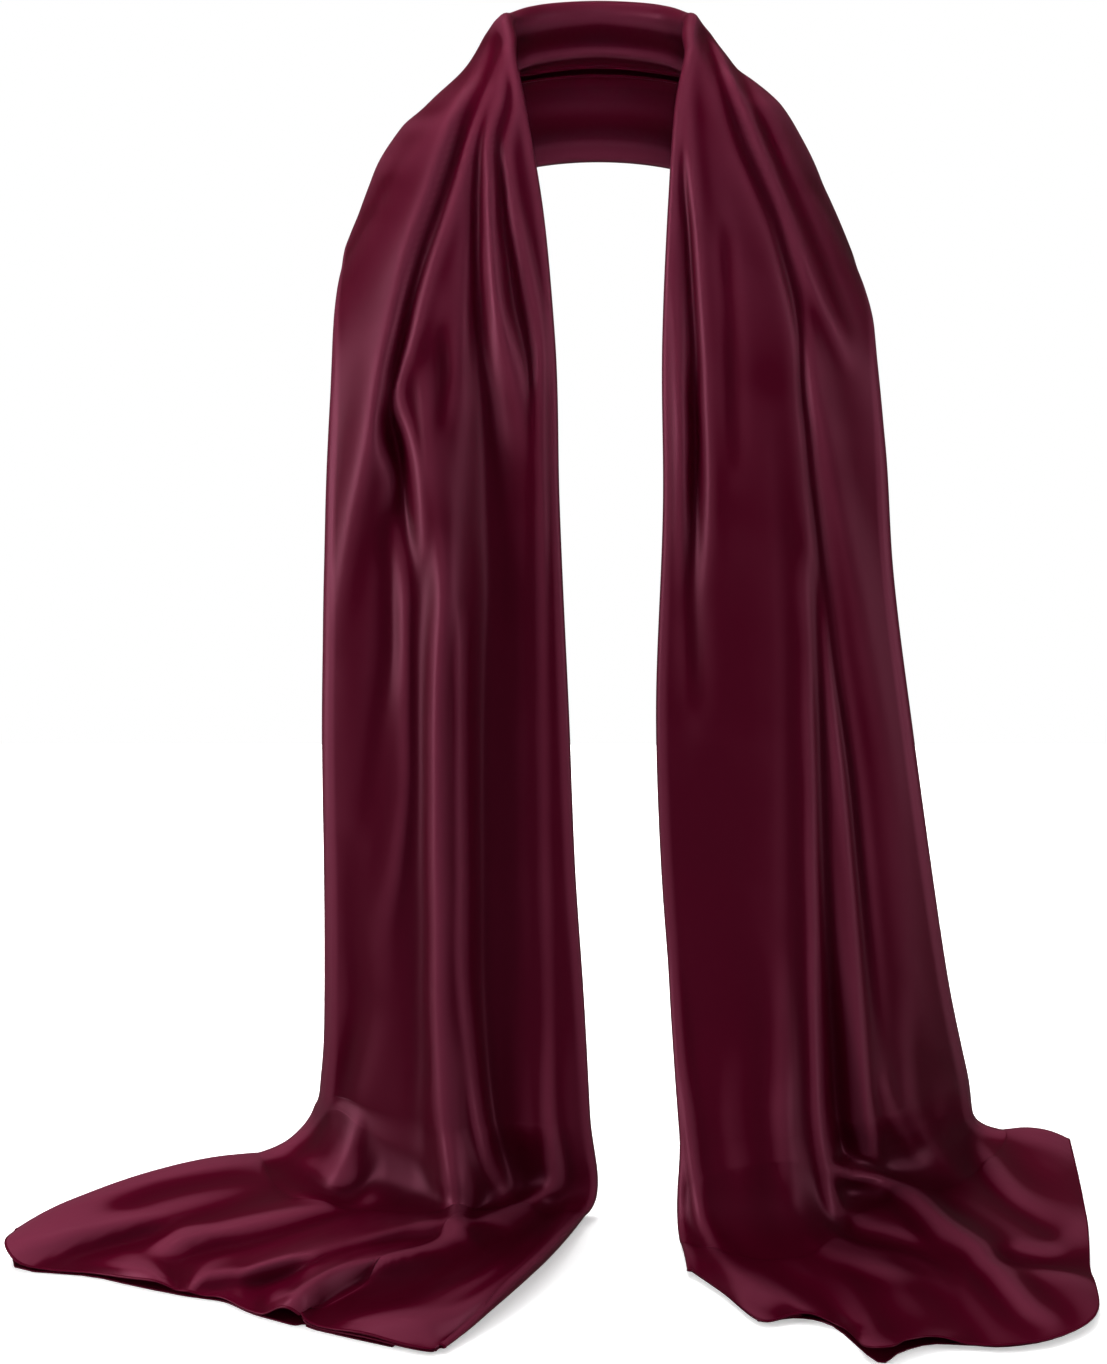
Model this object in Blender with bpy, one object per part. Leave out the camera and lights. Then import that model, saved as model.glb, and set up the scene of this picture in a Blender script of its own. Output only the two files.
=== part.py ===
"""Long satin scarf, worn open over neck and shoulders, with both ends spread out on the floor.

The cloth is one long rectangle, folded lengthwise: a front panel, a narrow flap turned in along the
neck edge, and a back layer turned in along the outer edge. It is built as one wall, worked out from
sections across the strip and from lines along its folds, and parted into the stretches that show.

All tables are in millimetres. x is the distance out from the middle of the body, y runs from the
chest (minus) to the back (plus), z is up from the middle of the neck opening.
"""

import bpy
import numpy as np

MM = 0.001
WALL = 1.4                 # thickness of the cloth wall
SEAM_GAP = 0.6             # gap between two stretches, measured along the middle of the strip
FLOOR = -700.0             # height of the floor under the neck opening
COLUMNS_PER_FOLD = 2       # faces across each half fold of the front panel
STEP = 1.0                 # distance along the strip over which its direction is read
SHARP_ANGLE = 1.0          # radians over which an edge of the wall is drawn sharp

LEFT = -1.0
RIGHT = 1.0

# Stations along the strip, from the nape to just above the floor: distance from the nape.
ALONG = {
    "nape": 0.0, "nape_side": 60.0, "back_shoulder": 105.0, "shoulder_top": 145.0,
    "shoulder_front": 190.0, "collar": 235.0, "chest": 285.0, "bust": 340.0,
    "high_waist": 430.0, "waist": 550.0, "thigh": 645.0, "knee": 735.0, "foot": 805.0,
}

# One row a section: three points of the strip, each as x, y, z.
SECTION_COLUMNS = ("station", "neck_edge", "middle", "outer_edge")
NAPE_SECTION = ("nape", (0, 62, 43), (0, 68, -7), (0, 65, -55))
LEFT_SECTIONS = (
    ("nape_side", (41, 44, 44), (58, 57, -9), (70, 62, -64)),
    ("back_shoulder", (55, 20, 44), (92, 38, -20), (122, 46, -84)),
    ("shoulder_top", (57, -2, 44), (114, 4, -20), (158, -2, -95)),
    ("shoulder_front", (54, -30, 30), (111, -42, -36), (160, -34, -112)),
    ("collar", (45, -54, -6), (106, -70, -64), (161, -58, -132)),
    ("chest", (34, -74, -66), (99, -90, -108), (163, -76, -158)),
    ("bust", (27, -88, -140), (96, -102, -172), (166, -90, -205)),
    ("high_waist", (24, -94, -240), (97, -108, -260), (170, -97, -280)),
    ("waist", (18, -97, -376), (97, -109, -381), (173, -100, -386)),
    ("thigh", (14, -98, -475), (95, -110, -477), (174, -98, -479)),
    ("knee", (8, -98, -565), (93, -110, -565), (177, -86, -565)),
    ("foot", (4, -102, -636), (92, -112, -636), (182, -62, -636)),
)
RIGHT_SECTIONS = (
    ("nape_side", (41, 44, 44), (58, 57, -9), (70, 62, -64)),
    ("back_shoulder", (54, 20, 44), (91, 38, -20), (121, 46, -84)),
    ("shoulder_top", (55, -2, 44), (111, 4, -19), (155, -2, -95)),
    ("shoulder_front", (53, -30, 30), (111, -42, -35), (160, -34, -114)),
    ("collar", (44, -54, -6), (107, -70, -64), (164, -58, -134)),
    ("chest", (39, -74, -66), (104, -90, -110), (167, -76, -160)),
    ("bust", (36, -88, -140), (103, -102, -172), (172, -90, -205)),
    ("high_waist", (37, -94, -240), (107, -108, -260), (180, -97, -280)),
    ("waist", (34, -97, -376), (115, -109, -381), (195, -100, -386)),
    ("thigh", (38, -98, -475), (126, -110, -477), (211, -92, -479)),
    ("knee", (45, -100, -565), (137, -110, -565), (229, -66, -565)),
    ("foot", (50, -108, -636), (149, -113, -636), (247, -30, -636)),
)

# Lines along the crests and valleys of the folds. PLACE is how far across the panel a line lies,
# from 0 at the neck edge to 1 at the outer edge; RISE is how far it stands out of the panel.
FOLD_STATIONS = ("nape", "shoulder_top", "collar", "chest", "bust", "waist", "knee", "foot")
NARROWEST_FOLD = 1e-4      # least width between two lines, as a share of the panel
LEFT_PLACE = (
    ("neck_fold", (0.00, 0.000, 0.000, 0.00, 0.000, 0.000, 0.000, 0.000)),
    ("edge_valley", (0.08, 0.015, 0.060, 0.06, 0.050, 0.084, 0.115, 0.116)),
    ("soft_ridge", (0.16, 0.030, 0.125, 0.15, 0.090, 0.124, 0.156, 0.160)),
    ("slim_valley", (0.24, 0.045, 0.167, 0.21, 0.130, 0.180, 0.220, 0.220)),
    ("neck_ridge", (0.32, 0.060, 0.220, 0.29, 0.246, 0.260, 0.290, 0.300)),
    ("deep_valley", (0.42, 0.080, 0.270, 0.34, 0.373, 0.370, 0.380, 0.380)),
    ("band_inner", (0.50, 0.100, 0.320, 0.43, 0.445, 0.458, 0.473, 0.440)),
    ("band_outer", (0.56, 0.120, 0.340, 0.50, 0.585, 0.588, 0.615, 0.600)),
    ("slot", (0.61, 0.135, 0.360, 0.55, 0.625, 0.637, 0.660, 0.700)),
    ("lap", (0.67, 0.155, 0.395, 0.61, 0.672, 0.690, 0.720, 0.790)),
    ("groove", (0.73, 0.185, 0.440, 0.67, 0.745, 0.750, 0.800, 0.835)),
    ("shoulder_ridge", (0.80, 0.300, 0.600, 0.74, 0.830, 0.850, 0.860, 0.880)),
    ("side_valley", (0.88, 0.550, 0.750, 0.89, 0.900, 0.905, 0.910, 0.920)),
    ("side_ridge", (0.94, 0.800, 0.880, 0.95, 0.950, 0.950, 0.955, 0.960)),
    ("outer_fold", (1.00, 1.000, 1.000, 1.00, 1.000, 1.000, 1.000, 1.000)),
)
LEFT_RISE = (
    ("neck_fold", (0, 0, 0, 0, 0, 0, 0, 0)),
    ("edge_valley", (-2, -1, -2, -3, -2, -4, -5, -5)),
    ("soft_ridge", (1, 1, 2, 2, 1, 0, -1, -1)),
    ("slim_valley", (-2, -2, -4, -5, -2, -3, -4, -6)),
    ("neck_ridge", (2, 2, 4, 5, 4, -7, -9, -11)),
    ("deep_valley", (-5, -3, -8, -12, -15, -19, -22, -22)),
    ("band_inner", (2, 0, 0, 2, 2, 3, 7, 16)),
    ("band_outer", (1, 0, 0, 1, 5, 9, 14, 22)),
    ("slot", (-1, 0, 1, 0, -2, 0, 0, -2)),
    ("lap", (1, 2, 3, 4, 4, 2, 2, 1)),
    ("groove", (-3, -4, -8, -10, -12, -3, -3, -5)),
    ("shoulder_ridge", (2, 3, 4, 5, 7, 1, 0, 3)),
    ("side_valley", (-2, 0, 0, -3, -2, -1, -2, -3)),
    ("side_ridge", (1, 0, 0, 0, 1, 1, 1, 2)),
    ("outer_fold", (0, 0, 0, 0, 0, 0, 0, 0)),
)
RIGHT_PLACE = (
    ("neck_fold", (0.00, 0.000, 0.000, 0.00, 0.000, 0.000, 0.000, 0.000)),
    ("rim_valley", (0.08, 0.015, 0.022, 0.05, 0.075, 0.060, 0.050, 0.060)),
    ("inner_valley", (0.16, 0.030, 0.045, 0.11, 0.150, 0.120, 0.110, 0.120)),
    ("inner_ridge", (0.24, 0.050, 0.090, 0.17, 0.205, 0.190, 0.180, 0.180)),
    ("panel_valley", (0.32, 0.080, 0.236, 0.29, 0.317, 0.340, 0.316, 0.273)),
    ("panel_ridge", (0.42, 0.110, 0.300, 0.42, 0.450, 0.460, 0.422, 0.380)),
    ("slot", (0.50, 0.150, 0.350, 0.52, 0.580, 0.580, 0.500, 0.452)),
    ("edge_ridge", (0.56, 0.190, 0.400, 0.576, 0.628, 0.619, 0.532, 0.485)),
    ("groove", (0.61, 0.240, 0.490, 0.63, 0.670, 0.663, 0.575, 0.540)),
    ("fine_ridge", (0.67, 0.290, 0.530, 0.66, 0.695, 0.718, 0.684, 0.640)),
    ("second_groove", (0.73, 0.340, 0.570, 0.69, 0.720, 0.766, 0.745, 0.690)),
    ("shoulder_ridge", (0.80, 0.500, 0.646, 0.75, 0.770, 0.900, 0.880, 0.770)),
    ("side_valley", (0.88, 0.650, 0.740, 0.81, 0.850, 0.940, 0.930, 0.890)),
    ("side_ridge", (0.94, 0.820, 0.860, 0.88, 0.920, 0.970, 0.965, 0.945)),
    ("outer_fold", (1.00, 1.000, 1.000, 1.00, 1.000, 1.000, 1.000, 1.000)),
)
RIGHT_RISE = (
    ("neck_fold", (0, 0, 0, 0, 0, 0, 0, 0)),
    ("rim_valley", (-2, 0, -1, -2, -2, 0, 1, 1)),
    ("inner_valley", (1, -1, -3, -7, -11, -3, -1, -3)),
    ("inner_ridge", (-2, 1, 2, 3, 2, -1, 0, -1)),
    ("panel_valley", (2, -2, -5, -5, -4, -4, -6, -8)),
    ("panel_ridge", (-5, 0, -1, -2, -2, -2, 3, 6)),
    ("slot", (2, 0, 1, 0, 0, -2, 1, 2)),
    ("edge_ridge", (1, 2, 4, 4, 4, 3, 5, 6)),
    ("groove", (-1, -3, -8, -9, -7, -4, -13, -16)),
    ("fine_ridge", (1, -1, -5, -7, -5, 1, -3, -8)),
    ("second_groove", (-3, 0, -3, -4, -5, -7, -8, -12)),
    ("shoulder_ridge", (2, 3, 5, 6, 5, 6, 4, 2)),
    ("side_valley", (-2, -1, -3, -4, -5, 4, 1, -4)),
    ("side_ridge", (1, 1, 1, 1, 1, 2, 1, 0)),
    ("outer_fold", (0, 0, 0, 0, 0, 0, 0, 0)),
)

# The layers behind the panel: how far behind they lie, and how far across they reach.
LAYER_STATIONS = ("nape", "nape_side", "back_shoulder", "shoulder_top", "collar", "chest",
                  "bust", "waist", "knee", "foot")
BACK_GAP = (9.0, 9.0, 10.0, 11.0, 15.0, 19.0, 22.0, 24.0, 26.0, 26.0)
OUTER_FOLD_GAP = (9.0, 9.0, 9.0, 9.0, 10.0, 12.0, 13.0, 13.0, 14.0, 15.0)
BACK_HEM = (0.36, 0.37, 0.38, 0.38, 0.32, 0.25, 0.16, 0.12, 0.12, 0.12)
FLAP_GAP = (14.0, 14.0, 11.0, 9.0, 8.0, 7.0, 7.0, 7.0, 7.0, 7.0)
FLAP_HEM = (0.44, 0.42, 0.31, 0.27, 0.24, 0.22, 0.20, 0.20, 0.20, 0.20)
FLAP_FOLLOWS = (0.2, 0.4, 0.8, 1.0, 1.0, 1.0, 1.0, 1.0, 1.0, 1.0)
BACK_FOLLOWS = 0.3         # share of the panel's folds that the back layer repeats
BACK_WAVE = 0.08           # height of the back layer's own folds, as a share of its gap
BACK_WAVES = 2.5           # number of them across the strip
EDGE_EASE = 4.0            # how soon the back layer reaches its full gap, from the outer fold
FLAP_FACES = 4
TURN_FACES = 4
BACK_FACES = 8

# The ends on the floor, one row a fold line: where it meets the floor, where its hem lies
# (both x, y), and how high it stands on the way and at the hem.
FLOOR_COLUMNS = ("line", "knee", "hem", "lift_on_the_way", "lift_at_hem")
LEFT_FLOOR = (
    ("neck_fold", (0, -116), (90, -308), 10, 9),
    ("edge_valley", (17, -110), (120, -300), 9, 9),
    ("soft_ridge", (31, -114), (168, -278), 15, 14),
    ("slim_valley", (43, -112), (176, -270), 10, 9),
    ("neck_ridge", (56, -118), (183, -266), 12, 12),
    ("deep_valley", (70, -124), (192, -260), 9, 8),
    ("band_inner", (84, -138), (207, -254), 14, 12),
    ("band_outer", (98, -142), (226, -246), 20, 13),
    ("slot", (116, -116), (242, -242), 11, 8),
    ("lap", (138, -104), (260, -238), 14, 12),
    ("groove", (147, -100), (284, -218), 10, 8),
    ("shoulder_ridge", (161, -106), (312, -214), 18, 14),
    ("side_valley", (170, -86), (337, -212), 16, 9),
    ("side_ridge", (178, -62), (354, -200), 24, 16),
    ("outer_fold", (188, -34), (366, -184), 22, 17),
)
RIGHT_FLOOR = (
    ("neck_fold", (53, -138), (56, -214), 12, 9),
    ("rim_valley", (60, -138), (74, -240), 10, 8),
    ("inner_valley", (68, -144), (94, -272), 10, 9),
    ("inner_ridge", (82, -147), (114, -268), 14, 10),
    ("panel_valley", (102, -138), (138, -280), 9, 8),
    ("panel_ridge", (124, -142), (162, -330), 13, 14),
    ("slot", (138, -134), (176, -316), 10, 9),
    ("edge_ridge", (145, -134), (190, -306), 14, 10),
    ("groove", (153, -100), (214, -308), 9, 8),
    ("fine_ridge", (172, -92), (238, -310), 17, 11),
    ("second_groove", (183, -80), (264, -300), 12, 8),
    ("shoulder_ridge", (202, -74), (296, -274), 20, 12),
    ("side_valley", (226, -50), (304, -190), 10, 7),
    ("side_ridge", (240, -26), (313, -100), 14, 9),
    ("outer_fold", (254, -8), (318, -16), 13, 10),
)
KNEE_LIFT = 8.0            # height of the panel over the floor just past the bend
KNEE_RADIUS = 20.0         # length of the bend on each side of its corner
BACK_LIFT = 0.9            # height of the back layer's middle over the floor
FLAP_SINKS = 0.5           # place of the flap between the panel (0) and the back layer (1)
BACK_HEM_SHORT = 10.0      # how much further in the back layer's hem lies
EDGE_ROLL = 0.7            # share of the turn at the two folds that shows on the floor

# Rows of faces along each stretch, and where the stretches are parted.
NECK_ROWS_A_SIDE = 12
FALL_ROWS = 20
PART_AT = ALONG["chest"]
BEND_ROWS = (0.0, 0.5, 1.0)
CURVE_ROWS = (0.25, 0.5, 0.75)
RUN_ROWS = (0.0, 0.18, 0.38, 0.58, 0.79, 1.0)

CLOTH_COLOUR = (0.050, 0.0012, 0.0075, 1.0)    # dark burgundy, linear
CLOTH_ROUGHNESS = 0.42


def remove_all_objects():
    """Empty the scene."""
    for thing in list(bpy.data.objects):
        bpy.data.objects.remove(thing, do_unlink=True)


def soft_step(t):
    """Ease from 0 to 1, level at both ends."""
    t = np.clip(t, 0.0, 1.0)
    return t * t * (3.0 - 2.0 * t)


def smooth_through(knots, values, at):
    """Smooth curve through the rows of values at the knots, read at the given places."""
    knots = np.asarray(knots, float)
    values = np.asarray(values, float)
    at = np.asarray(at, float)
    step = np.diff(knots)
    shape = (-1,) + (1,) * (values.ndim - 1)
    slope = np.diff(values, axis=0) / step.reshape(shape)
    before = step[:-1].reshape(shape)
    after = step[1:].reshape(shape)
    inner = (slope[:-1] * after + slope[1:] * before) / (before + after)
    tangent = np.concatenate([slope[:1], inner, slope[-1:]])
    place = np.clip(np.searchsorted(knots, at, side="right") - 1, 0, len(step) - 1)
    t = ((at - knots[place]) / step[place]).reshape(shape)
    width = step[place].reshape(shape)
    start = values[place]
    end = values[place + 1]
    rise = tangent[place] * width
    fall = tangent[place + 1] * width
    return (start * (1 + 2 * t) * (1 - t) ** 2 + rise * t * (1 - t) ** 2
            + end * t * t * (3 - 2 * t) - fall * t * t * (1 - t))


def both_sides(left, middle, right):
    """Join a left table, read backwards, a middle row and a right table."""
    return np.concatenate([left[::-1], middle, right])


def column(table, names, name):
    """Numbers of one named column of a table."""
    place = names.index(name)
    return np.array([row[place] for row in table], float)


def section_rows(table):
    """Three points of each section of a table."""
    return np.stack([column(table, SECTION_COLUMNS, name) for name in SECTION_COLUMNS[1:]], axis=1)


def section_table():
    """Places along the strip, minus on the left, with three points of each section."""
    along = np.array([ALONG[row[0]] for row in LEFT_SECTIONS])
    left = section_rows(LEFT_SECTIONS)
    left[..., 0] *= LEFT
    points = both_sides(left, section_rows([NAPE_SECTION]), section_rows(RIGHT_SECTIONS))
    return both_sides(-along, [0.0], along), points


def fold_table(left, right):
    """Places along the strip, with one number for each fold line."""
    along = np.array([ALONG[name] for name in FOLD_STATIONS])
    left = np.array([row[1] for row in left], float).T
    right = np.array([row[1] for row in right], float).T
    knots = both_sides(-along[1:], along[:1], along[1:])
    return knots, both_sides(left[1:], left[:1], right[1:])


def layer_value(row, along):
    """Value of a layer row at each place along the strip, alike on both sides."""
    knots = [ALONG[name] for name in LAYER_STATIONS]
    return smooth_through(knots, row, np.abs(along))


def folds_at(along):
    """Place and rise of every fold line at each place along the strip."""
    knots, places = fold_table(LEFT_PLACE, RIGHT_PLACE)
    rises = fold_table(LEFT_RISE, RIGHT_RISE)[1]
    return smooth_through(knots, places, along), smooth_through(knots, rises, along)


def read_between(lines, values, across):
    """Read values given on fold lines at any place across, easing from line to line."""
    total = np.repeat(values[:, :1], across.shape[1], axis=1)
    for k in range(lines.shape[1] - 1):
        width = np.maximum(lines[:, k + 1] - lines[:, k], NARROWEST_FOLD)
        share = (across - lines[:, k:k + 1]) / width[:, None]
        total = total + (values[:, k + 1] - values[:, k])[:, None] * soft_step(share)
    return total


def panel_columns(lines):
    """Places of the panel's columns, an equal number between each two fold lines."""
    shares = np.arange(COLUMNS_PER_FOLD) / COLUMNS_PER_FOLD
    widths = np.diff(lines, axis=1)
    inner = lines[:, :-1, None] + widths[:, :, None] * shares
    return np.concatenate([inner.reshape(len(lines), -1), lines[:, -1:]], axis=1)


def strip_columns(along):
    """Across place, depth, edge bulge and layer of every column of the folded strip.

    The columns run from the flap's hem round the neck fold, over the panel, round the outer fold
    and back to the hem of the back layer.
    """
    lines, rises = folds_at(along)
    panel = panel_columns(lines)
    rows = len(along)
    ones = np.ones((rows, 1))
    flap_hem = layer_value(FLAP_HEM, along)[:, None]
    flap_gap = layer_value(FLAP_GAP, along)[:, None]
    back_hem = layer_value(BACK_HEM, along)[:, None]
    back_gap = layer_value(BACK_GAP, along)[:, None]
    fold_gap = layer_value(OUTER_FOLD_GAP, along)[:, None]
    follows = layer_value(FLAP_FOLLOWS, along)[:, None]
    turn = np.linspace(0.0, np.pi, TURN_FACES + 1)[None, 1:-1]

    flap = flap_hem * np.linspace(1.0, 0.0, FLAP_FACES + 1)[None, :]
    back = 1.0 + (back_hem - 1.0) * np.linspace(0.0, 1.0, BACK_FACES + 1)[None, :]
    flap_rise = read_between(lines, rises, flap)
    back_rise = read_between(lines, rises, back)
    eased = soft_step((1.0 - back) * EDGE_EASE)
    back_depth = fold_gap + (back_gap - fold_gap) * eased
    wave = BACK_WAVE * back_gap * np.sin(2.0 * np.pi * BACK_WAVES * (1.0 - back)) * eased

    across = np.concatenate([flap, 0.0 * turn * ones, panel, ones + 0.0 * turn, back], axis=1)
    depth = np.concatenate([
        follows * flap_rise - flap_gap,
        -0.5 * flap_gap * (1.0 + np.cos(turn)),
        read_between(lines, rises, panel),
        -0.5 * fold_gap * (1.0 - np.cos(turn)),
        BACK_FOLLOWS * back_rise - back_depth + wave,
    ], axis=1)
    bulge = np.concatenate([
        0.0 * flap,
        -0.5 * flap_gap * np.sin(turn),
        0.0 * panel,
        0.5 * fold_gap * np.sin(turn),
        0.0 * back,
    ], axis=1)
    layer = np.concatenate([
        FLAP_SINKS + 0.0 * flap,
        FLAP_SINKS * 0.5 * (1.0 + np.cos(turn)) * ones,
        0.0 * panel,
        0.5 * (1.0 - np.cos(turn)) * ones,
        1.0 + 0.0 * back,
    ], axis=1)
    return across, depth, bulge, layer


def section_points(along, share):
    """Points of the bare sections, and the direction across, for shares of the full width."""
    knots, table = section_table()
    points = smooth_through(knots, table, along)
    a, b, c = (points[:, k, None, :] for k in range(3))
    s = share[..., None]
    place = a * (1 - s) * (1 - 2 * s) + b * 4 * s * (1 - s) + c * s * (2 * s - 1)
    across = a * (4 * s - 3) + b * (4 - 8 * s) + c * (4 * s - 1)
    return place, across


def hanging_grid(along):
    """Middle surface of the folded strip at each place along it."""
    across, depth, bulge, layer = strip_columns(along)
    knots, table = section_table()
    points = smooth_through(knots, table, along)
    width = np.linalg.norm(points[:, 2] - points[:, 0], axis=1)[:, None]
    inner_edge = 0.5 * layer_value(FLAP_GAP, along)[:, None] / width
    outer_edge = 0.5 * layer_value(OUTER_FOLD_GAP, along)[:, None] / width
    share = inner_edge + across * (1.0 - inner_edge - outer_edge) + bulge / width
    place, sideways = section_points(along, share)
    ahead = section_points(along + STEP, share)[0]
    behind = section_points(along - STEP, share)[0]
    normal = np.cross(ahead - behind, sideways)
    normal /= np.linalg.norm(normal, axis=2, keepdims=True)
    return place + normal * depth[..., None], across, layer, bulge


def floor_lines(side, across):
    """Knee and hem in plan, and the two lifts, at each place across the panel."""
    table = LEFT_FLOOR if side == LEFT else RIGHT_FLOOR
    lines = folds_at(np.array([side * ALONG["foot"]]))[0]

    def eased(values):
        return read_between(lines, values[None, :], across)[0]

    knee = column(table, FLOOR_COLUMNS, "knee")
    hem = column(table, FLOOR_COLUMNS, "hem")
    way = eased(column(table, FLOOR_COLUMNS, "lift_on_the_way"))
    end = eased(column(table, FLOOR_COLUMNS, "lift_at_hem"))
    knee = np.stack([eased(knee[:, 0]), eased(knee[:, 1])], axis=1)
    hem = np.stack([eased(hem[:, 0]), eased(hem[:, 1])], axis=1)
    return knee, hem, way, end


def knee_shift(top, across, knee_y, layer):
    """How far the strip moves in depth down to its knee; the back layer repeats less of it."""
    panel = np.flatnonzero(layer == 0.0)
    shift = knee_y - np.interp(across, across[panel], top[panel, 1])
    trend = np.interp(across, [0.0, 1.0], [shift[panel[0]], shift[panel[-1]]])
    return trend + (shift - trend) * (1.0 - (1.0 - BACK_FOLLOWS) * layer)


def floor_corners(side, top, across, layer, bulge):
    """Knee and hem points of every column, and how high it stands between them."""
    knee, hem, way, end = floor_lines(side, across[None, :])
    run = hem - knee
    run /= np.linalg.norm(run, axis=1, keepdims=True)
    sideways = np.stack([-run[:, 1], run[:, 0]], axis=1) * bulge[:, None] * EDGE_ROLL
    knee_y = top[:, 1] + knee_shift(top, across, knee[:, 1], layer)
    hem = hem + sideways - run * (BACK_HEM_SHORT * layer)[:, None]
    knee_z = FLOOR + KNEE_LIFT + (BACK_LIFT - KNEE_LIFT) * layer
    hem_z = FLOOR + end + (BACK_LIFT - end) * layer
    lift = (way - 0.5 * (KNEE_LIFT + end)) * (1.0 - layer)
    return (np.stack([side * (knee[:, 0] + sideways[:, 0]), knee_y + sideways[:, 1], knee_z], axis=1),
            np.stack([side * hem[:, 0], hem[:, 1], hem_z], axis=1), lift)


def floor_grid(side):
    """Middle surface of an end: down to the floor, round the bend and out to the hem."""
    start, across, layer, bulge = hanging_grid(np.array([side * (ALONG["foot"] + 0.5 * SEAM_GAP)]))
    top = start[0]
    knee, hem, lift = floor_corners(side, top, across[0], layer[0], bulge[0])
    down = (knee - top) / np.linalg.norm(knee - top, axis=1, keepdims=True)
    out = (hem - knee) / np.linalg.norm(hem - knee, axis=1, keepdims=True)
    into = knee - down * KNEE_RADIUS
    leave = knee + out * KNEE_RADIUS
    rows = [top + (into - top) * t for t in BEND_ROWS]
    rows += [into * (1 - t) ** 2 + knee * 2 * t * (1 - t) + leave * t * t for t in CURVE_ROWS]
    for t in RUN_ROWS:
        row = leave + (hem - leave) * t
        row[:, 2] += lift * 4.0 * t * (1.0 - t)
        rows.append(row)
    return np.array(rows)


def hanging_slope(along):
    """Direction along the strip at every point of its middle surface."""
    return hanging_grid(along + STEP)[0] - hanging_grid(along - STEP)[0]


def wall_object(name, grid, slope, material):
    """Closed wall of even thickness about a grid of middle points, with the slope along it."""
    normal = np.cross(slope, np.gradient(grid, axis=1))
    normal /= np.linalg.norm(normal, axis=2, keepdims=True)
    rows, columns = grid.shape[:2]
    outside = (grid + normal * WALL * 0.5).reshape(-1, 3)
    inside = (grid - normal * WALL * 0.5).reshape(-1, 3)
    index = np.arange(rows * columns).reshape(rows, columns)
    under = index + rows * columns
    a, b = index[:-1, :-1], index[1:, :-1]
    c, d = index[1:, 1:], index[:-1, 1:]
    faces = [np.stack([a, b, c, d], axis=-1).reshape(-1, 4),
             np.stack([a, d, c, b], axis=-1).reshape(-1, 4) + rows * columns]
    rim = np.concatenate([index[0, :], index[1:, -1], index[-1, -2::-1], index[-2:0:-1, 0]])
    rim_under = np.concatenate([under[0, :], under[1:, -1], under[-1, -2::-1], under[-2:0:-1, 0]])
    faces.append(np.stack([rim, np.roll(rim, -1), np.roll(rim_under, -1), rim_under], axis=1))
    mesh = bpy.data.meshes.new(name)
    points = np.concatenate([outside, inside]) * MM
    mesh.from_pydata(points.tolist(), [], np.concatenate(faces).tolist())
    mesh.shade_smooth()
    mesh.set_sharp_from_angle(angle=SHARP_ANGLE)
    mesh.materials.append(material)
    thing = bpy.data.objects.new(name, mesh)
    bpy.context.collection.objects.link(thing)
    return thing


def cloth_material(name):
    """Dark burgundy satin."""
    material = bpy.data.materials.new(name)
    material.use_nodes = True
    shader = material.node_tree.nodes["Principled BSDF"]
    shader.inputs["Base Color"].default_value = CLOTH_COLOUR
    shader.inputs["Roughness"].default_value = CLOTH_ROUGHNESS
    shader.inputs["Metallic"].default_value = 0.0
    return material


def build():
    """Make the five stretches of the scarf."""
    remove_all_objects()
    half = 0.5 * SEAM_GAP
    neck = np.linspace(half - PART_AT, PART_AT - half, 2 * NECK_ROWS_A_SIDE + 1)
    fall = np.linspace(PART_AT + half, ALONG["foot"] - half, FALL_ROWS + 1)
    wall_object("neck_band", hanging_grid(neck)[0], hanging_slope(neck), cloth_material("satin_neck"))
    for side, word in ((LEFT, "left"), (RIGHT, "right")):
        along = np.sort(side * fall)
        satin = cloth_material("satin_fall_" + word)
        wall_object("fall_" + word, hanging_grid(along)[0], hanging_slope(along), satin)
        end = floor_grid(side)
        foot = 0
        if side == LEFT:
            end = end[::-1]
            foot = -1
        slope = np.gradient(end, axis=0)
        slope[foot] = hanging_slope(np.array([side * ALONG["foot"]]))[0]
        wall_object("floor_end_" + word, end, slope, cloth_material("satin_end_" + word))


build()
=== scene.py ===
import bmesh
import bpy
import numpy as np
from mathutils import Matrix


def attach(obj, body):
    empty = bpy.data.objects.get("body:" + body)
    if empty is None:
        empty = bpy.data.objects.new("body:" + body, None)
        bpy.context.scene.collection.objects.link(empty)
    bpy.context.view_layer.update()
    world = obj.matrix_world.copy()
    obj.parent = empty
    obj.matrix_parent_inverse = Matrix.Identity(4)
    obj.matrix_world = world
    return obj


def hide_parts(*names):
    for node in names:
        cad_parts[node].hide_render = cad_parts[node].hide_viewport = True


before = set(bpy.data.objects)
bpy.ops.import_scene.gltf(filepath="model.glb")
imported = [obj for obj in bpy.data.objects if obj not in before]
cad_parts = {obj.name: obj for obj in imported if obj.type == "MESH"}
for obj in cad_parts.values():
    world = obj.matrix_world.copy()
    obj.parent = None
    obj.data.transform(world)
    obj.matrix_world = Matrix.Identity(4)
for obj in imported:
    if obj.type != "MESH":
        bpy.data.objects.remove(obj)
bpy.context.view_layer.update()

# %% [markdown]
# # A long satin scarf, worn open
#
# The object is one long rectangle of dark burgundy satin. It is folded lengthwise, laid round the
# back of the neck and over both shoulders, hangs down in two falls and spreads out on the floor.
#
# It could be draped by a cloth simulation, but that lays the folds where it likes. Here each fold has
# a place of its own, so the cloth is a surface worked out with numpy.

MM = 0.001
print("solid nodes:", ", ".join(sorted(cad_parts)))

# %% [markdown]
# ## Where the camera stands
#
# The camera stands two metres in front of the scarf, a little above it, and looks down at 16 degrees.
# Its place comes first, because the folds are laid out below as they are seen from there. The sum is
# written out for the size of the picture, so it doesn't hang on any render setting.

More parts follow.
